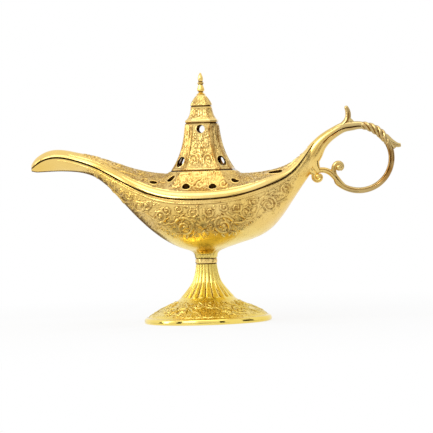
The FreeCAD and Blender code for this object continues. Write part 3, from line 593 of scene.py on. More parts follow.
def deck_ornament():
    """Relief of the deck's near half."""
    ornament = Ornament(on_deck)
    for centre, outer, start, turn in (
        ((-33, -10), 4.6, 20, 480), ((-30, -20), 2.6, 200, -400), ((30, -8), 4.2, 160, -480),
        ((26, -18), 2.6, 0, 400), ((-13, -24), 2.4, 180, 400), ((13, -25), 2.4, 0, -400),
        ((-47, -6), 3.0, 20, 430), ((0, -25.5), 1.9, 90, 400), ((-21, -19), 2.0, 90, -400),
    ):
        ornament.scroll(centre, outer, outer * 0.25, start, turn, 0.5, 0.42)
    ornament.stem([(-60, -2.5), (-52, -8), (-44, -14), (-36, -15.5)], 0.5, 7, 0.4, 3.0)
    ornament.stem([(52, -2), (46, -7), (38, -12), (31, -14)], 0.5, 6, 0.4, 2.8)
    distance = ornament.distance()

    def free(x, y):
        run = cover_lines(np.array(x))[1]
        inside = -66 < x < 55 and -run + 1.2 < y < 0.5 and octagon_reach(x, y) > PLINTH_HALF + 0.4
        return inside and distance(x, y) > 1.2

    ornament.fill((-66, -33), (56, 1), 2.2, 0.28, free)
    border = np.linspace(-74, 56, 400)
    for side in (-1, 1):
        ornament.stroke(np.stack([border, side * (cover_lines(border)[1] - 0.5)], axis=1), 0.4, 0.3)
    return ornament


def off_deck_holes(points):
    """A test of a grid's faces: whether they lie outside the deck's holes and the flue."""
    spread = 0.1

    def keep(quads):
        x, y, _ = points.reshape(-1, 3)[quads].mean(axis=1).T
        clear = np.hypot(x, y) >= FLUE_RADIUS + spread
        for hole_x, hole_y, radius, stretch in DECK_HOLES:
            along = np.maximum(np.abs(x - hole_x) - stretch, 0)
            clear &= np.hypot(along, np.abs(y) - hole_y) >= radius + spread
        return clear

    return keep


def add_deck_holes(build):
    turn = full_turn(40)
    ring = np.stack([np.cos(turn), np.sin(turn)], axis=1)
    shade = np.array(DECK_HOLE_EDGE)[:, 2:]
    for x, y, radius, stretch in DECK_HOLES:
        middle = np.stack([np.sign(ring[:, 0]) * stretch, 0 * turn], axis=1)
        for side in (-1, 1):
            levels = []
            for out, up, _ in DECK_HOLE_EDGE:
                spot = (ring * (radius + out) + middle + np.array([x, y])) * np.array([1, side])
                levels.append(np.column_stack([spot, deck_height(*spot.T) + up]))
            build.grid(np.stack(levels), wrap=True, flip=side > 0, recess=shade, polish=0.4)


def add_rim_band(build, x, deck_edge, side):
    """The band along one side, up to the deck's edge, and the seat under it."""
    half, run, band, _ = cover_lines(x)
    across, up, swell, shade = np.array(BAND_SECTION).T
    swell = swell * nose(x)[:, None] * np.minimum(1, half / 5)[:, None]
    strip = np.stack([
        np.broadcast_to(x[:, None], swell.shape),
        side * (half[:, None] + swell - (half - run)[:, None] * across),
        (RIM(x) + SEAT_GAP + BAND_FOOT)[:, None] + (band - RIM(x) - SEAT_GAP - BAND_FOOT)[:, None] * up,
    ], axis=2)
    strip[:, -1] = deck_edge
    fine = smooth_strip(strip, 3)
    build.grid(fine, flip=side > 0, recess=spaced(shade, np.linspace(0, 1, fine.shape[1])), polish=1)
    seat = np.stack([fine[:, 0], bowl_surface(x, 0, WALL) * np.array([1, side, 1])], axis=1)
    seat[..., 2] = (RIM(x) + SEAT_GAP)[:, None] + np.array([BAND_SEAT, 0.0])
    # The seat is painted black shade, for the gap over the bowl's rim
    build.grid(seat, flip=side < 0, recess=SEAT_SHADE)


def cover_inside(x):
    """The cover's inner skin, below the deck and down to the rim."""
    columns, steepness = 61, 1.4
    x = x[:, None]
    y = -np.maximum(HALF(x) * nose(x) - WALL, LEAST_SIZE) * np.linspace(1, -1, columns)
    x = np.broadcast_to(x, y.shape)
    run = cover_lines(x)[1]
    drop = steepness * np.maximum(np.abs(y) - run + WALL, 0)
    z = deck_height(x, np.clip(y, -run, run), plinth=False) - WALL - drop
    return np.stack([x, y, np.maximum(z, RIM(x) + SEAT_GAP)], axis=2)


def add_lug(build, place, side):
    """One of the four lugs that keep the cover from sliding on the bowl."""
    ends = place - LUG_HALF_LENGTH, place + LUG_HALF_LENGTH
    corners = [(ends[0], LUG_OUTER), (ends[1], LUG_OUTER), (ends[1], LUG_INNER), (ends[0], LUG_INNER)]
    levels = np.array([[(x, side * y, z) for x, y in corners] for z in LUG_LEVELS], float)
    levels[-1] = levels[-1] * (1 - LUG_TAPER) + levels[-1].mean(axis=0) * LUG_TAPER
    # Painted shade on the lug
    build.grid(levels, wrap=True, flip=side > 0, recess=0.2)
    build.cap(levels[-1], flip=side < 0, recess=0.2)


def make_cover(material):
    rows, half_columns, row_crowding, column_crowding = 420, 64, 1.05, 1.15
    field_depth, shade, cavity_shade = 0.18, 0.06, 1.4
    x = TIP + (COVER_END - TIP) * np.linspace(0, 1, rows) ** row_crowding
    run = cover_lines(x)[1][:, None]
    share = np.linspace(1, 0.05, half_columns) ** column_crowding
    y = -run * np.concatenate([share, [0.0], -share[::-1]])
    place = np.broadcast_to(x[:, None], y.shape)
    deck = np.stack([place, y, deck_height(place, y)], axis=2)
    normal = grid_normals(deck)
    mirrored = deck * np.array([1, -1, 1])
    raised = deck_ornament().relief(np.where(deck[..., 1:2] <= 0, deck, mirrored))
    field = ramp(run - np.abs(y), 0.3, 1.2) * window(place, *DECK_SPAN)
    field *= ramp(octagon_reach(place, y), PLINTH_HALF, PLINTH_HALF + 0.6)
    top = deck + normal * (raised - field_depth * field)[..., None]
    recess = field * np.clip(shade + cavity_shade * cavity(raised), 0, 1)
    build = Build()
    build.grid(top, keep=off_deck_holes(top), recess=recess, polish=1 - field)
    add_rim_band(build, x, top[:, 0], -1)
    add_rim_band(build, x, top[:, -1], 1)
    inner = cover_inside(x[4:-16:3])
    # Painted shade on the cover's inner skin
    build.grid(inner, flip=True, keep=off_deck_holes(inner), recess=0.35)
    add_deck_holes(build)
    flue = [(FLUE_RADIUS + 0.2, PLINTH_TOP - 0.05), (FLUE_RADIUS, PLINTH_TOP - 0.2), (FLUE_RADIUS, FLUE_FOOT)]
    # Painted shade in the flue
    build.grid(lathe(flue, 64), wrap=True, flip=True, recess=0.4)
    for place in (-LUG_PLACE, LUG_PLACE):
        for side in (-1, 1):
            add_lug(build, place, side)
    build.make("cover_shell", material, "cover", "cover", 60)


# Tower: a shaft of four broad faces with narrow ones at the corners, and a stepped top
TOWER_FOOT, SHAFT_TOP, FLUE_TOP = 83.72, 110.0, 114
TOWER_SHAFT = spline([(83.7, 17.4), (86.7, 15.5), (89.7, 13.9), (96.7, 11.2), (103.4, 9.75),
                      (SHAFT_TOP, 8.9)])
TOWER_TOP = [(SHAFT_TOP, 8.9), (110.05, 8.45), (110.7, 8.4), (110.8, 8.75), (111.2, 8.85), (111.8, 8.7),
             (112.2, 8.3), (112.9, 7.5), (113.9, 6.9), (115.3, 6.3), (117.2, 5.85), (118.7, 5.6),
             (119.0, 5.7), (119.3, 5.75), (119.5, 5.4), (119.9, 5.3), (120.1, 5.75), (120.8, 5.6),
             (122.0, 5.0), (123.5, 4.15), (124.8, 3.2), (125.6, 2.6), (125.9, 1.2)]
TOWER_WALL = 1.0
# Half widths of the flue at the shaft's top and at its own top
FLUE_REACH = [7.9, 4.2]
SHAFT_SPAN = (84.0, 84.6, 109.3, 109.9)
TOP_SPANS = [(112.2, 113.2, 118.4, 119.0), (120.2, 120.8, 124.6, 125.4)]
TOWER_GROOVES = [(110.4, 0.6), (119.7, 0.5)]
NARROW_FACE = (1 - BROAD_FACE) * math.sqrt(2) / 2
# Smoke holes: face, height, radius
UPPER_HOLE, LOWER_HOLE = (107.0, 2.3), (89.1, 2.8)
SMOKE_HOLES = [(face, *(LOWER_HOLE if face % 2 else UPPER_HOLE)) for face in range(8)]
# A smoke hole's edge: distance outside the hole, height over the face, recess, which paints shade that
# darkens into the hole
SMOKE_HOLE_EDGE = [(0.5, -0.1, 0.3), (0.3, 0.03, 0.0), (0.0, 0.0, 0.3), (-0.02, -0.15, 1.2)]
SMOKE_HOLE_SHADE = 1.6


def octagon_turns(broad, narrow):
    """Directions around the tower, with each corner of its plan on one of them."""
    turns = []
    for first in (0, 90, 180, 270):
        face = BROAD_FACE * np.linspace(-1, 1, broad, endpoint=False)
        turns.append(first + np.degrees(np.arctan(face)))
        side = (1 - BROAD_FACE) * np.linspace(0, 1, narrow, endpoint=False)
        turns.append(first + np.degrees(np.arctan2(BROAD_FACE + side, 1 - side)))
    return np.radians(np.concatenate(turns))


def tower_point(turn, height, reach):
    """A point of the tower at a direction and height, where its half width is reach."""
    x, y = np.cos(turn), np.sin(turn)
    scale = reach / octagon_reach(x, y)
    return np.stack([x * scale, y * scale, height + 0 * turn], axis=-1)


def tower_face(line, face, depth=None):
    """Points of (across, height) on a face of the shaft, or on a parallel plane at a depth from the axis.
    Even faces are broad, and odd ones narrow."""
    across, height = np.asarray(line, float).T
    if depth is None:
        reach = TOWER_SHAFT(height)
        depth = reach * (1 + BROAD_FACE) / math.sqrt(2) if face % 2 else reach
    turn = math.radians(45 * face)
    x = depth * math.cos(turn) - across * math.sin(turn)
    y = depth * math.sin(turn) + across * math.cos(turn)
    return np.stack([x, y, height], axis=1)


def tower_ornament():
    """Relief of the shaft: a frame, scrolls and leaves, and small fill on each face."""
    ornament = Ornament(tower_face)
    low, high = 84.9, 108.8
    height = np.linspace(84.8, high, 120)
    for face in range(8):
        ornament.lay = partial(tower_face, face=face)
        width = NARROW_FACE if face % 2 else BROAD_FACE
        for side in (-1, 1):
            edge = side * (TOWER_SHAFT(height) * width - 0.75)
            ornament.stroke(np.stack([edge, height], axis=1), 0.32, 0.26)
        across = np.linspace(-1, 1, 60) * (TOWER_SHAFT(low) * width - 0.9)
        ornament.stroke(np.stack([across, low + 0 * across], axis=1), 0.36, 0.3)
        if face % 2:
            ornament.palmette((0, 93.4), 2.6, 90, 0.34)
            ornament.scroll((0, 98.8), 1.6, 0.5, 270, 420, 0.36, 0.32)
            ornament.stem([(0, 92.6), (0.3, 96), (-0.3, 101), (0, 107)], 0.36, 7, 0.32, 1.8)
        else:
            for aside, rise, outer, inner, turn, half, lift in (
                (4.2, 90.5, 3.0, 0.8, 430, 0.45, 0.36), (2.6, 98.0, 2.0, 0.6, 400, 0.4, 0.34),
            ):
                for hand in (1, -1):
                    start = 270 + 50 * hand
                    ornament.scroll((-hand * aside, rise), outer, inner, start, hand * turn, half, lift)
            ornament.palmette((0, 100.6), 3.0, 90, 0.34)
            ornament.palmette((0, 92.6), 3.2, 90, 0.36)
            ornament.stem([(0, 85.6), (0.4, 89), (-0.4, 94), (0, 100)], 0.4, 6, 0.34, 2.2)
        distance = ornament.distance()
        _, hole_height, hole_radius = SMOKE_HOLES[face]

        def free(across, height):
            off_hole = np.hypot(across, height - hole_height) > hole_radius + 0.7
            inside = abs(across) < TOWER_SHAFT(height) * width - 1.4 and low + 0.9 < height < high - 0.2
            return off_hole and inside and distance(across, height) > 1.0

        ornament.fill((-11, 85), (11, 109), 2.2, 0.24, free)
    return ornament


def off_smoke_holes(points, spread):
    """A test of a grid's faces: whether they lie outside the smoke holes, widened by spread."""
    def keep(quads):
        x, y, z = points.reshape(-1, 3)[quads].mean(axis=1).T
        clear = np.ones(len(quads), bool)
        for face, height, radius in SMOKE_HOLES:
            turn = math.radians(45 * face)
            across = -x * math.sin(turn) + y * math.cos(turn)
            facing = x * math.cos(turn) + y * math.sin(turn)
            clear &= ~((np.hypot(across, z - height) < radius + spread) & (facing > 0))
        return clear

    return keep


def add_smoke_hole(build, face, height, radius):
    around = full_turn(48)
    turn = math.radians(45 * face)
    outward = np.array([math.cos(turn), math.sin(turn), 0.25])
    levels, shade = [], []
    for spread, out, dark in SMOKE_HOLE_EDGE:
        size = radius + spread
        line = np.stack([size * np.cos(around), size * np.sin(around) + height], axis=1)
        levels.append(tower_face(line, face) + outward * out)
        shade.append(dark)
    inside = np.hypot(*tower_face([(0, height)], face)[0, :2]) - TOWER_WALL
    levels.append(tower_face(line, face, inside))
    shade.append(SMOKE_HOLE_SHADE)
    build.grid(np.stack(levels), wrap=True, flip=True, recess=np.array(shade)[:, None], polish=0.5)


def make_tower(material):
    turns = octagon_turns(52, 26)
    field_depth, shade, cavity_shade, beside_shade, groove_shade = 0.12, 0.05, 1.35, 0.95, 1.6
    frame_height, dot_height, dots_around, dots_up, dot_gap = 0.2, 0.24, 14, 3.4, 0.2
    shaft = [(z, TOWER_SHAFT(z)) for z in np.linspace(TOWER_FOOT, SHAFT_TOP - 0.2, 76)]
    height, reach = np.vstack([shaft[:-1], thirds(shaft[-1:] + TOWER_TOP)]).T[..., None]
    base = tower_point(turns, height, reach)
    normal = -grid_normals(base, wrap=True)
    top_field = sum(window(height, *span) for span in TOP_SPANS)
    field = np.maximum(window(height, *SHAFT_SPAN), top_field)
    across, along = np.abs(np.cos(turns)), np.abs(np.sin(turns))
    from_corner = np.abs(np.maximum(across, along) - (across + along) / (1 + BROAD_FACE))
    frame_line = line_at(from_corner, 0.06, 0.05, 0.04)
    dots = np.clip(np.sin(dots_around * turns) * np.sin(height * dots_up) - dot_gap, 0, 1)
    raised = tower_ornament().relief(base)
    raised = np.maximum(raised, top_field * np.maximum(frame_line * frame_height, dots * dot_height))
    top = base + normal * (raised - field_depth * field)[..., None]
    recess = field * np.clip(shade + cavity_shade * cavity(raised, True), 0, 1)
    beside = line_at(from_corner, 0.045, 0.035, 0.03)
    grooves = sum(line_at(height, place, half, 0.25) for place, half in TOWER_GROOVES)
    # Painted black shade at the shaft's foot, where it meets the deck
    seam = ramp(SHAFT_SPAN[1] - height, 0, 0.3)
    for dark in (beside_shade * beside * field, groove_shade * grooves, SEAM_SHADE * seam):
        recess = np.maximum(recess, dark)
    build = Build()
    build.grid(top, wrap=True, flip=True, keep=off_smoke_holes(top, 0.15), recess=recess, polish=1 - field)
    build.cap(top[-1], polish=1)
    inner_height = np.linspace(TOWER_FOOT, FLUE_TOP, 70)[:, None]
    inner_reach = np.where(inner_height < SHAFT_TOP,
                           TOWER_SHAFT(np.minimum(inner_height, SHAFT_TOP)) - TOWER_WALL,
                           np.interp(inner_height, [SHAFT_TOP, FLUE_TOP], FLUE_REACH))
    inner = tower_point(turns[::2], inner_height, inner_reach)
    # Painted shade inside the tower
    build.grid(inner, wrap=True, keep=off_smoke_holes(inner, 0.0), recess=0.8)
    build.cap(inner[-1], flip=True, recess=0.8)
    # Painted shade on the ring under the shaft's foot
    foot = np.stack([base[0], tower_point(turns, TOWER_FOOT, inner_reach[0])])
    build.grid(foot, wrap=True, recess=0.3)
    for hole in SMOKE_HOLES:
        add_smoke_hole(build, *hole)
    build.make("tower_shell", material, "cover", "tower", 38)


# Pedestal: a domed foot with a polished edge, and a gadrooned stem
FOOT_EDGE = [(32.4, 0.0), (35.0, 0.0), (35.4, 0.4), (35.5, 1.2)]
FOOT_LIP = [(35.35, 2.1), (34.9, 2.75), (34.2, 3.15), (33.7, 3.2)]
FOOT_DOME = [(33.3, 3.45), (32.6, 4.1), (30, 5.6), (27, 7.1), (24, 8.55), (21, 9.95), (18.5, 11.2),
             (16.6, 12.3), (15.0, 13.4), (13.7, 14.6), (12.4, 16.0), (11.2, 17.5), (10.0, 19.0), (8.8, 20.7),
             (7.7, 22.6), (7.0, 24.6), (6.45, 26.6), (6.05, 28.8), (5.8, 30.6), (5.7, 32.0)]
FOOT_UNDER = [(32.4, 0.0), (32.2, 2.6), (24, 6.2), (14, 10), (6.2, 9.9), (BORE, 9.7)]
FOOT_RISE = linear(FOOT_DOME[::-1])
FOOT_SPAN = (15.2, 16.2, 32.8, 33.6)
LIP_RADIUS, LIP_TOP = 33.75, 3.2
ORNAMENT_RADIUS = 24
LOBES = 20
LOBE_DEPTH = linear([(13.2, 0.0), (14.2, 1.15), (17, 1.1), (22, 0.75), (28, 0.5), (32, 0.4)])


def on_foot(line, middle=0.0):
    """Points of (across, outward) on the foot's dome. middle is their origin's direction in degrees."""
    across, outward = np.asarray(line, float).T
    radius = ORNAMENT_RADIUS + outward
    turn = np.radians(middle + across * math.degrees(1 / ORNAMENT_RADIUS))
    return np.stack([radius * np.cos(turn), radius * np.sin(turn), FOOT_RISE(radius)], axis=1)


def foot_ornament():
    """Relief of the foot: ten groups of two scrolls and a stem, and small fill."""
    ornament = Ornament(on_foot)
    groups = 10
    for step in range(groups):
        ornament.lay = partial(on_foot, middle=step * 360 / groups)
        hand = 1 if step % 2 else -1
        ornament.scroll((-3.6 * hand, 2.6), 3.8, 0.9, 90, 450 * hand, 0.72, 0.6)
        ornament.scroll((3.8 * hand, -2.8), 3.2, 0.8, 270, 430 * hand, 0.65, 0.55)
        ornament.stem([(-6.4, -5.4), (-2, -1.4), (2, 1.8), (6.4, 5.8)], 0.6, 6, 0.5, 3.2)
    ornament.lay = on_foot
    distance = ornament.distance()

    def free(across, outward):
        return -7.4 < outward < 8.0 and distance(across, outward) > 1.0

    ornament.fill((0, -8), (2 * math.pi * ORNAMENT_RADIUS, 8.4), 3.4, 0.2, free)
    return ornament


def make_pedestal(material):
    columns, lobe_power, lobe_middle = 440, 0.7, 0.62
    field_depth, field_shade, flute_shade, flute_width = 0.14, 0.7, 1.1, 0.42
    profile = np.vstack([FOOT_EDGE, smooth_path(FOOT_LIP + FOOT_DOME, 150)])
    radius, height = profile.T[..., None]
    lobe = np.abs(np.sin(LOBES * full_turn(columns) / 2))
    depth = LOBE_DEPTH(height) * ramp(height, 12.6, 14.6)
    base = rings(radius + (lobe ** lobe_power - lobe_middle) * depth, height, columns)
    normal = -grid_normals(base, wrap=True)
    raised = foot_ornament().relief(base)
    field = window(radius, *FOOT_SPAN) * (height > LIP_TOP)
    outer = base + normal * (raised * field - field_depth * field)[..., None]
    flute = ramp(flute_width - lobe, 0, flute_width) * depth
    recess = np.maximum(field * field_shade * cavity(raised, True), flute * flute_shade)
    recess = np.clip(recess, 0, 1)
    # Painted shade in the crease between the foot's lip and its dome
    recess = np.maximum(recess, line_at(radius, LIP_RADIUS, 0.35, 0.3) * (height > 3))
    build = Build()
    build.grid(outer, wrap=True, flip=True, recess=recess, polish=1 - field + (height < LIP_TOP + 0.1))
    # Painted shade in the bore and under the foot
    bore = lathe([(BORE, 32.0), (BORE, 9.7)], columns)
    build.grid(np.concatenate([outer[-1:], bore]), wrap=True, flip=True, recess=0.4)
    build.grid(lathe(FOOT_UNDER, 96), wrap=True, recess=0.4)
    build.make("pedestal_shell", material, "base", "pedestal", 60)


# Handle: bars swept along lines in the plane of symmetry
LOOP_X, LOOP_Z, LOOP_RADIUS = 86.5, 88.2, 18.0
GROOVE_PLACE, GROOVE_WIDTH, GROOVE_SHADE = -0.3, 0.13, 10
ROPE_MIDDLE, ROPE_SHADE = 0.6, 2


def bar(build, points, thick, count, around, wide=None, groove=None, twist=None, recess=(0, 0), upright=0.0):
    """A bar through (x, z) points, with count sections of around points. Set evenly along it are its half
    thickness in the plane, thick, and across the plane, wide, the depth of a groove along each side, and the
    recess. twist gives the turns and depth of a rope's strands, and upright is the share of the length over
    which the first, upright section turns square to the bar."""
    line = smooth_path(points, count)
    run = np.linspace(0, 1, count)
    ahead = np.gradient(line, axis=0)
    ahead /= np.linalg.norm(ahead, axis=1, keepdims=True)
    side = np.stack([-ahead[:, 1], ahead[:, 0]], axis=1)
    if upright:
        share = ramp(run, 0, upright)[:, None]
        side = side * share + np.array([0, 1]) * (1 - share)
        side /= np.linalg.norm(side, axis=1, keepdims=True)
    thickness = spaced(thick, run)[:, None]
    width = spaced(wide or thick, run)[:, None]
    turn = full_turn(around)
    scale = np.ones((count, around))
    dark = spaced(recess, run)[:, None] + 0 * scale
    if groove:
        across = (np.sin(turn) - GROOVE_PLACE) / GROOVE_WIDTH
        channel = np.exp(-across ** 2) * spaced(groove, run)[:, None]
        scale -= channel
        dark += channel * GROOVE_SHADE
    if twist:
        winds, depth = twist
        rope = np.abs(np.sin(2 * turn - winds * np.pi * run[:, None]))
        span = window(run, 0, 0.06, 0.94, 1)[:, None]
        scale += (rope - ROPE_MIDDLE) * depth * span
        dark += ROPE_SHADE * ramp(0.42 - rope, 0, 0.4) * span
    up = np.sin(turn) * thickness * scale
    out = np.cos(turn) * width * scale
    skin = np.stack([line[:, :1] + side[:, :1] * up, out, line[:, 1:] + side[:, 1:] * up], axis=2)
    build.grid(skin, wrap=True, flip=True, recess=dark, polish=1)
    build.cap(skin[0], flip=True, recess=recess[0], polish=1)
    build.cap(skin[-1], recess=recess[-1], polish=1)


def ball(build, x, z, radius):
    turn = np.linspace(-np.pi / 2, np.pi / 2, 13)
    profile = np.stack([np.maximum(radius * np.cos(turn), 0.01), radius * np.sin(turn)], axis=1)
    build.grid(lathe(profile, 24) + np.array([x, 0, z]), wrap=True, flip=True, polish=1)


def loop(first, last, count=24):
    """Points on the finger loop's circle, between two directions in degrees."""
    turn = np.radians(np.linspace(first, last, count))
    return [(LOOP_X + LOOP_RADIUS * math.cos(t), LOOP_Z + LOOP_RADIUS * math.sin(t)) for t in turn]


def make_handle(material):
    build = Build()
    # Arm from the bowl's tail to the loop
    arm = [(59.0, 87.2), (61.6, 91.4), (64.8, 96.0), (69.3, 100.2), (74, 103.2), (78.8, 105.4)]
    bar(build, arm + loop(100, 82, 3), [6.4, 5.1, 4.0, 3.4, 3.0, 2.8, 2.5, 2.0], 120, 96,
        wide=[3.9, 3.6, 3.3, 3.0, 2.7, 2.5, 2.3, 1.9], groove=[0, 0.04, 0.14, 0.2, 0.26, 0.32, 0.36],
        upright=0.2)
    # Rope over the loop's top
    bar(build, loop(84, 24), [1.9, 2.1, 2.25, 2.25, 2.1, 1.8], 110, 40, twist=(5.5, 0.4), recess=(0.1, 0.25))
    # The rest of the loop and the curl at its end
    curl = [(73.6, 76.9), (72.6, 79.6), (72.4, 82.6), (73.4, 84.9), (75.1, 85.7), (76.7, 84.8), (76.9, 83.2),
            (75.8, 82.2)]
    # The loop's recess paints shade, darkest brown along its right side
    bar(build, loop(30, -132, 44) + curl, [1.85, 1.7, 1.65, 1.65, 1.65, 1.65, 1.6, 1.45, 1.2], 260, 48,
        groove=[0.1, 0.16, 0.14, 0.12, 0.12, 0.12, 0], recess=(0.3, 0.95, 0.8, 0.4, 0.2, 0.1, 0.1, 0.1))
    ball(build, 75.3, 83.2, 1.9)
    # Leaf behind the loop, with its lower lobe
    bar(build, [(99.0, 100.4), (102.8, 97.6), (106.4, 95.2), (108.6, 94.5), (109.8, 94.6)],
        [2.0, 2.5, 1.9, 1.5, 1.0], 36, 32, wide=[1.9, 2.0, 1.5, 1.1, 0.7], groove=[0.1, 0.2, 0.2, 0.1])
    bar(build, [(102.4, 97.4), (104.6, 95.0), (106.6, 92.8)], [1.6, 1.4, 0.6], 20, 18)
    # Spur over the loop, with its branch
    bar(build, [(75.4, 104.2), (78.4, 106.4), (80.6, 109.2), (81.3, 112.2), (81.0, 114.6), (80.5, 116.0)],
        [1.6, 2.1, 1.9, 1.65, 1.55, 1.2], 50, 24, groove=[0, 0.14, 0.14, 0], recess=(0.0, 0.2, 0.3))
    ball(build, 80.45, 116.1, 1.2)
    bar(build, [(86.6, 105.7), (84.0, 106.9), (82.2, 108.6), (81.2, 110.6)], [0.8, 1.5, 1.7, 1.2], 30, 18)
    # Scroll from the loop to the tail, with the two pieces that join it to the bowl
    scroll = [(78.0, 72.5), (75.5, 75.0), (73.3, 77.7), (70.9, 80.2), (68.2, 81.7), (65.4, 82.1),
              (63.0, 81.4), (61.5, 79.8), (61.4, 77.6), (62.9, 76.4), (64.8, 77.1), (65.1, 78.7),
              (64.1, 79.4)]
    bar(build, scroll,
        [1.4, 1.6, 1.8, 1.7, 1.6, 1.5, 1.4, 1.3, 1.2, 1.1], 130, 24, groove=[0.0, 0.16, 0.16, 0.16, 0.1])
    ball(build, 63.4, 78.7, 1.7)
    bar(build, [(64.0, 81.0), (62.6, 83.2), (61.6, 86.6), (61.4, 90.0)], [1.9, 2.6, 3.1, 3.3], 24, 24)
    bar(build, [(59.4, 83.0), (60.8, 81.4), (62.2, 80.4)], [2.4, 2.3, 1.6], 16, 20)
    build.make("handle_loop", material, "base", "handle", 60)


# Turned pieces: (radius, height) profiles, and the heights of the dark lines on them
COLLAR = [(BORE, 32.02), (5.6, 32.02), (5.75, 32.2), (5.75, 32.45), (6.05, 32.65), (6.12, 33.2), (6.12, 34.3),
          (6.05, 34.85), (5.85, 35.0), (5.85, 35.2), (5.6, 35.38), (BORE, 35.38), (BORE, 32.02)]
COLLAR_LINES = (32.2, 35.3)
FINIAL = [(0.02, 122), (1.2, 122), (1.2, 125.8), (2.5, 125.9), (2.55, 126.25), (1.9, 126.7), (1.35, 127.3),
          (1.25, 127.7), (1.8, 128.1), (2.1, 128.8), (1.85, 129.8), (1.45, 131.0), (1.25, 131.8),
          (1.75, 132.2), (1.8, 132.7), (1.2, 133.2), (1.35, 134), (1.5, 135), (1.2, 136.4), (0.7, 137.6),
          (0.3, 138.25), (0.02, 138.3)]
FINIAL_LINES = (127.6, 131.9, 133.2)
LINE_SHADE, LINE_HALF, LINE_SOFT = 2.5, 0.4, 0.3


def make_turned(name, profile, lines, material, body, node, around, polish):
    fine = thirds(profile)
    dark = sum(LINE_SHADE * line_at(fine[:, 1:], height, LINE_HALF, LINE_SOFT) for height in lines)
    build = Build()
    build.grid(lathe(fine, around), wrap=True, flip=True, recess=dark, polish=polish)
    build.make(name, material, body, node, 40)


# Materials
BRIGHT, DEEP = (0.93, 0.68, 0.245), (0.87, 0.59, 0.145)
# Yellower gold: gold with a painted yellow reflection of gold on gold
REFLECTED_YELLOW, DEEP_REFLECTED_YELLOW = (0.95, 0.745, 0.2), (0.88, 0.66, 0.13)
PALE, DEEP_PALE = (0.92, 0.69, 0.28), (0.86, 0.61, 0.18)
# Darker gold for the handle's loop, painted shade for its darker reflections
SHADED_GOLD = (0.60, 0.45, 0.19)
# Brown for patina in the relief and for painted shade, and black for painted shade in gaps, holes and deep
# lines
BROWN_PATINA_AND_SHADE, BLACK_SHADE = (0.28, 0.115, 0.014), (0.045, 0.02, 0.003)
STEEL, DARK_STEEL = (0.62, 0.60, 0.56), (0.50, 0.48, 0.45)
BRASS, DARK_BRASS = (0.62, 0.45, 0.18), (0.40, 0.27, 0.10)
WHITE = (1, 1, 1)


class Nodes:
    """Adds nodes to a tree. An input is a number, a colour, or another node's output."""

    def __init__(self, tree):
        self.tree = tree

    def feed(self, socket, value):
        if isinstance(value, bpy.types.NodeSocket):
            self.tree.links.new(value, socket)
        elif socket.type == "RGBA":
            socket.default_value = (*value, 1)
        else:
            socket.default_value = value

    def add(self, kind, inputs, **settings):
        node = self.tree.nodes.new("ShaderNode" + kind)
        for key, value in settings.items():
            setattr(node, key, value)
        for key, value in inputs.items():
            self.feed(node.inputs[key], value)
        return node.outputs

    def place(self):
        return self.add("TexCoord", {})["Object"]

    def attribute(self, name):
        return self.add("Attribute", {}, attribute_name=name)["Fac"]

    def noise(self, scale, detail, stretch=(1, 1, 1)):
        vector = self.add("Mapping", {"Vector": self.place(), "Scale": stretch})["Vector"]
        return self.add("TexNoise", {"Vector": vector, "Scale": scale, "Detail": detail})["Fac"]

    def spread(self, source, low, high, to_low=0, to_high=1):
        """The source, with low to high stretched over to_low to to_high."""
        return self.add("MapRange", {"Value": source, "From Min": low, "From Max": high, "To Min": to_low,
                                     "To Max": to_high})["Result"]

    def math(self, operation, first, second):
        return self.add("Math", {0: first, 1: second}, operation=operation)["Value"]

    def blend(self, factor, first, second):
        """A colour between two others."""
        return self.add("Mix", {0: factor, 6: first, 7: second}, data_type="RGBA")[2]

    def seen_rays(self):
        """1 for a ray from the camera, or one that metal reflects or glass lets through."""
        rays = self.add("LightPath", {})
        seen = self.math("MAXIMUM", rays["Is Camera Ray"], rays["Is Glossy Ray"])
        return self.math("MAXIMUM", seen, rays["Is Transmission Ray"])

    def mix_surface(self, end, factor, first, second):
        """Feeds the output node named end with a mix of two shaders."""
        mixed = self.add("MixShader", {"Fac": factor, 1: first, 2: second})["Shader"]
        self.feed(self.tree.nodes[end].inputs["Surface"], mixed)


class Shader(Nodes):
    """A Principled material under construction."""

    def __init__(self, name, **surface):
        self.material = bpy.data.materials.new(name)
        self.material.use_nodes = True
        super().__init__(self.material.node_tree)
        for label, value in surface.items():
            self.surface(label, value)

    def surface(self, label, value):
        self.feed(self.tree.nodes["Principled BSDF"].inputs[label], value)

    def bump(self, height, strength, distance):
        inputs = {"Height": height, "Strength": strength, "Distance": distance}
        self.surface("Normal", self.add("Bump", inputs)["Normal"])


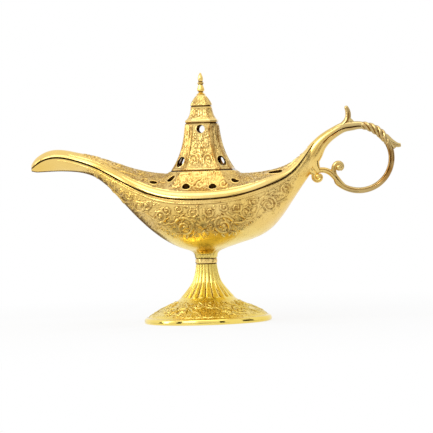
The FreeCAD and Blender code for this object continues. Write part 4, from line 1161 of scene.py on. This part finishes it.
def gold(name, light, deep, rough, shift=None):
    """Gold plating: its colour drifts a little, the relief's recesses hold a brown patina, inner walls,
    grooves and holes take painted brown shade, deep lines and gaps painted black shade, the chased areas have
    sparse pits, and the polished areas are smoother. shift gives an axis, the two places on it between which
    another colour comes in, and that colour."""
    shader = Shader(name, Metallic=1.0)
    recess, polish = shader.attribute("recess"), shader.attribute("polish")
    colour = shader.blend(shader.spread(shader.noise(38, 3), 0.35, 0.65), light, deep)
    if shift:
        axis, start, end, other = shift
        place = shader.add("SeparateXYZ", {"Vector": shader.place()})[axis]
        colour = shader.blend(shader.spread(place, start, end), colour, other)
    # Brown where recess is set: patina in the relief's crevices and painted shade elsewhere
    patina_and_painted_shade = shader.math("MULTIPLY", recess, shader.spread(shader.noise(240, 5), 0.32, 0.6, 0.45, 1.0))
    pits = shader.spread(shader.noise(800, 1), 0.64, 0.72, 0, 0.8)
    pits = shader.math("MULTIPLY", pits, shader.spread(polish, 0, 1, 1, 0))
    colour = shader.blend(shader.math("MAXIMUM", patina_and_painted_shade, pits), colour, BROWN_PATINA_AND_SHADE)
    # Painted black shade where recess goes over 1.1
    shader.surface("Base Color", shader.blend(shader.spread(recess, 1.1, 2.0), colour, BLACK_SHADE))
    wear = shader.spread(shader.noise(220, 4), 0.3, 0.7, rough * 0.8, rough * 1.35)
    shader.surface("Roughness", shader.math("MULTIPLY", wear, shader.spread(polish, 0, 2, 1.25, 0.3)))
    grain = shader.math("ADD", shader.noise(900, 4), shader.noise(260, 2))
    shader.bump(grain, shader.spread(polish, 0, 1, 0.35, 0.05), 0.0003)
    return shader.material


def plain_metal(name, light, deep, rough, grain):
    """Turned or drawn metal with fine tool marks and a little tarnish."""
    shader = Shader(name, Metallic=1.0)
    lines = shader.noise(grain, 3, (1, 1, 9))
    shader.surface("Base Color", shader.blend(shader.spread(shader.noise(120, 4), 0.3, 0.7), light, deep))
    shader.surface("Roughness", shader.spread(lines, 0.3, 0.7, rough * 0.8, rough * 1.3))
    shader.bump(lines, 0.25, 0.0001)
    return shader.material


# Stage, lights and camera
UP = (0, 0, 1)
BLACK, GREY, BROWN, CREAM = (0.02, 0.015, 0.01), (0.22, 0.19, 0.15), (0.09, 0.05, 0.015), (0.88, 0.79, 0.68)
FLOOR_WHITE, WORLD_WHITE = (0.9, 0.9, 0.9), (0.95, 0.94, 0.92)
CARD_DISTANCE, STRIP_DISTANCE, STRIP_LENGTH = 0.55, 0.065, 0.05
# Upright cards: name, direction in degrees, width, height
CARDS = [("left", 48, 0.09, 0.34), ("right", -30, 0.08, 0.34), ("low_left", 86, 0.12, 0.14),
         ("low_right", -75, 0.12, 0.14)]
# Strips on the floor, which the foot's edge reflects: direction in degrees, width
STRIPS = [(-62, 0.02), (-20, 0.012), (4, 0.02), (30, 0.012), (64, 0.02)]
# Lamps: name, place, aim, width and height, watts
LAMPS = [("key", (-0.5, -0.8, 0.7), (0, 0, 0.06), (0.45, 0.45), 3.2),
         ("left_strip", (-0.8, -0.15, 0.3), (0, 0, 0.08), (0.25, 0.7), 2.4),
         ("top", (0, -0.12, 0.95), (0, 0, 0.06), (0.7, 0.4), 1.3)]
AIM = Vector((0.00646, 0, 0.0582))
AZIMUTH, DISTANCE, HEIGHT, ROLL = math.radians(5), 1.4, 0.0834, math.radians(1.88)
FIELD_OF_VIEW = math.radians(9.82)


def add_object(name, data, place, facing, axis):
    """An object whose axis points in the direction facing."""
    obj = bpy.data.objects.new(name, data)
    obj.location = place
    obj.rotation_euler = Vector(facing).to_track_quat(axis, "Y").to_euler()
    bpy.context.scene.collection.objects.link(obj)
    return obj


def stage_plane(name, centre, size, facing, colour, seen=False):
    mesh = bpy.data.meshes.new(name)
    x, y = size[0] / 2, size[1] / 2
    mesh.from_pydata([(-x, -y, 0), (x, -y, 0), (x, y, 0), (-x, y, 0)], [], [(0, 1, 2, 3)])
    shader = Shader(name, Metallic=0.0, Roughness=0.9)
    tint = shader.spread(shader.noise(3, 2), 0, 1, 0.97, 1.0)
    shader.surface("Base Color", shader.blend(tint, (0, 0, 0), colour))
    mesh.materials.append(shader.material)
    obj = add_object(name, mesh, centre, facing, "Z")
    obj.visible_camera = seen
    return obj


def floor_card(name, centre, size, colour, turn=0.0):
    """A card on the floor that only reflections show."""
    card = stage_plane(name, centre, size, UP, colour)
    card.rotation_euler = (0, 0, turn)
    card.visible_shadow = card.visible_diffuse = False


def make_lamp(name, place, aim, size, watts):
    light = bpy.data.lights.new(name, "AREA")
    light.shape = "RECTANGLE"
    light.size, light.size_y = size
    light.energy = watts
    add_object(name, light, place, Vector(aim) - Vector(place), "-Z")


def make_floor():
    """A floor that is white to the camera and lets a faint shadow show around the foot."""
    floor = stage_plane("floor", (0, 0, -0.0002), (8, 8), UP, FLOOR_WHITE, True)
    nodes = Nodes(floor.data.materials[0].node_tree)
    away = nodes.add("VectorMath", {0: nodes.place()}, operation="LENGTH")["Value"]
    share = nodes.math("MULTIPLY", nodes.seen_rays(), nodes.spread(away, 0.06, 0.3, 0.86, 1))
    glow = nodes.add("Emission", {"Color": WHITE, "Strength": 1})["Emission"]
    nodes.mix_surface("Material Output", share, nodes.tree.nodes["Principled BSDF"].outputs["BSDF"], glow)


def make_world():
    """White where it is seen, and dimmer as a light."""
    world = bpy.data.worlds.new("studio")
    bpy.context.scene.world = world
    world.use_nodes = True
    nodes = Nodes(world.node_tree)
    dim = nodes.tree.nodes["Background"]
    nodes.feed(dim.inputs["Color"], WORLD_WHITE)
    nodes.feed(dim.inputs["Strength"], 0.6)
    bright = nodes.add("Background", {"Color": WHITE, "Strength": 1})["Background"]
    nodes.mix_surface("World Output", nodes.seen_rays(), dim.outputs["Background"], bright)


def level_direction(degrees):
    """A level direction, from the front towards the left."""
    turn = math.radians(degrees)
    return Vector((-math.sin(turn), -math.cos(turn), 0))


def make_cards():
    """Cards that the polished metal reflects."""
    stage_plane("card_front", (0.1, -1.8, 0.1), (1.0, 0.5), (0, 1, 0), CREAM)
    for label, degrees, width, height in CARDS:
        away = level_direction(degrees)
        centre = away * CARD_DISTANCE + Vector((0, 0, height / 2 + 0.002))
        stage_plane(f"card_{label}", centre, (width, height), -away, BLACK)
    for degrees, width in STRIPS:
        centre = level_direction(degrees) * STRIP_DISTANCE + Vector((0, 0, 0.0004))
        floor_card(f"card_floor_{degrees + 90}", centre, (width, STRIP_LENGTH), BLACK, -math.radians(degrees))
    floor_card("card_floor_behind", (-0.13, 0.28, 0.0006), (0.14, 0.4), BROWN, -math.pi)
    stage_plane("card_side", (0.7, -0.1, 0.15), (0.3, 0.6), (-1, 0, 0), GREY)


def make_camera():
    lens = bpy.data.cameras.new("camera")
    lens.angle = FIELD_OF_VIEW
    place = Vector((AIM.x + DISTANCE * math.sin(AZIMUTH), -DISTANCE * math.cos(AZIMUTH), HEIGHT))
    camera = add_object("camera", lens, place, AIM - place, "-Z")
    camera.rotation_euler.rotate_axis("Z", -ROLL)
    bpy.context.scene.camera = camera
    bpy.context.scene.view_settings.view_transform = "Standard"


# Below 54 mm the bowl turns yellower: painted reflection of the gold foot and bowl on each other
make_bowl(gold("bowl_gold", BRIGHT, DEEP, 0.22, ("Z", 0.054, 0.044, REFLECTED_YELLOW)))
make_cover(gold("cover_gold", BRIGHT, DEEP, 0.24))
make_tower(gold("tower_gold", PALE, DEEP_PALE, 0.19))
# The pedestal's yellower gold is partly painted reflection of the gold bowl above it
make_pedestal(gold("pedestal_gold", REFLECTED_YELLOW, DEEP_REFLECTED_YELLOW, 0.22))
# From 62 to 82 mm the handle darkens: painted shade on the loop
make_handle(gold("handle_gold", BRIGHT, DEEP, 0.22, ("X", 0.062, 0.082, SHADED_GOLD)))
polished = gold("polished_gold", BRIGHT, DEEP, 0.15)
make_turned("collar_band", COLLAR, COLLAR_LINES, polished, "base", "collar_ring", 96, 0.0)
make_turned("finial_spire", FINIAL, FINIAL_LINES, polished, "cover", "finial", 48, 1.0)

steel = plain_metal("fastener_steel", STEEL, DARK_STEEL, 0.32, 500)
brass = plain_metal("dish_brass", BRASS, DARK_BRASS, 0.38, 300)
steel_nodes = ("foot_washer", "foot_bolt", "bowl_nut", "handle_screw", "tower_screws")
for node, material in [(node, steel) for node in steel_nodes] + [("incense_dish", brass)]:
    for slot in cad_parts[node].material_slots:
        slot.material = material

make_floor()
make_world()
for lamp in LAMPS:
    make_lamp(*lamp)
make_cards()
make_camera()
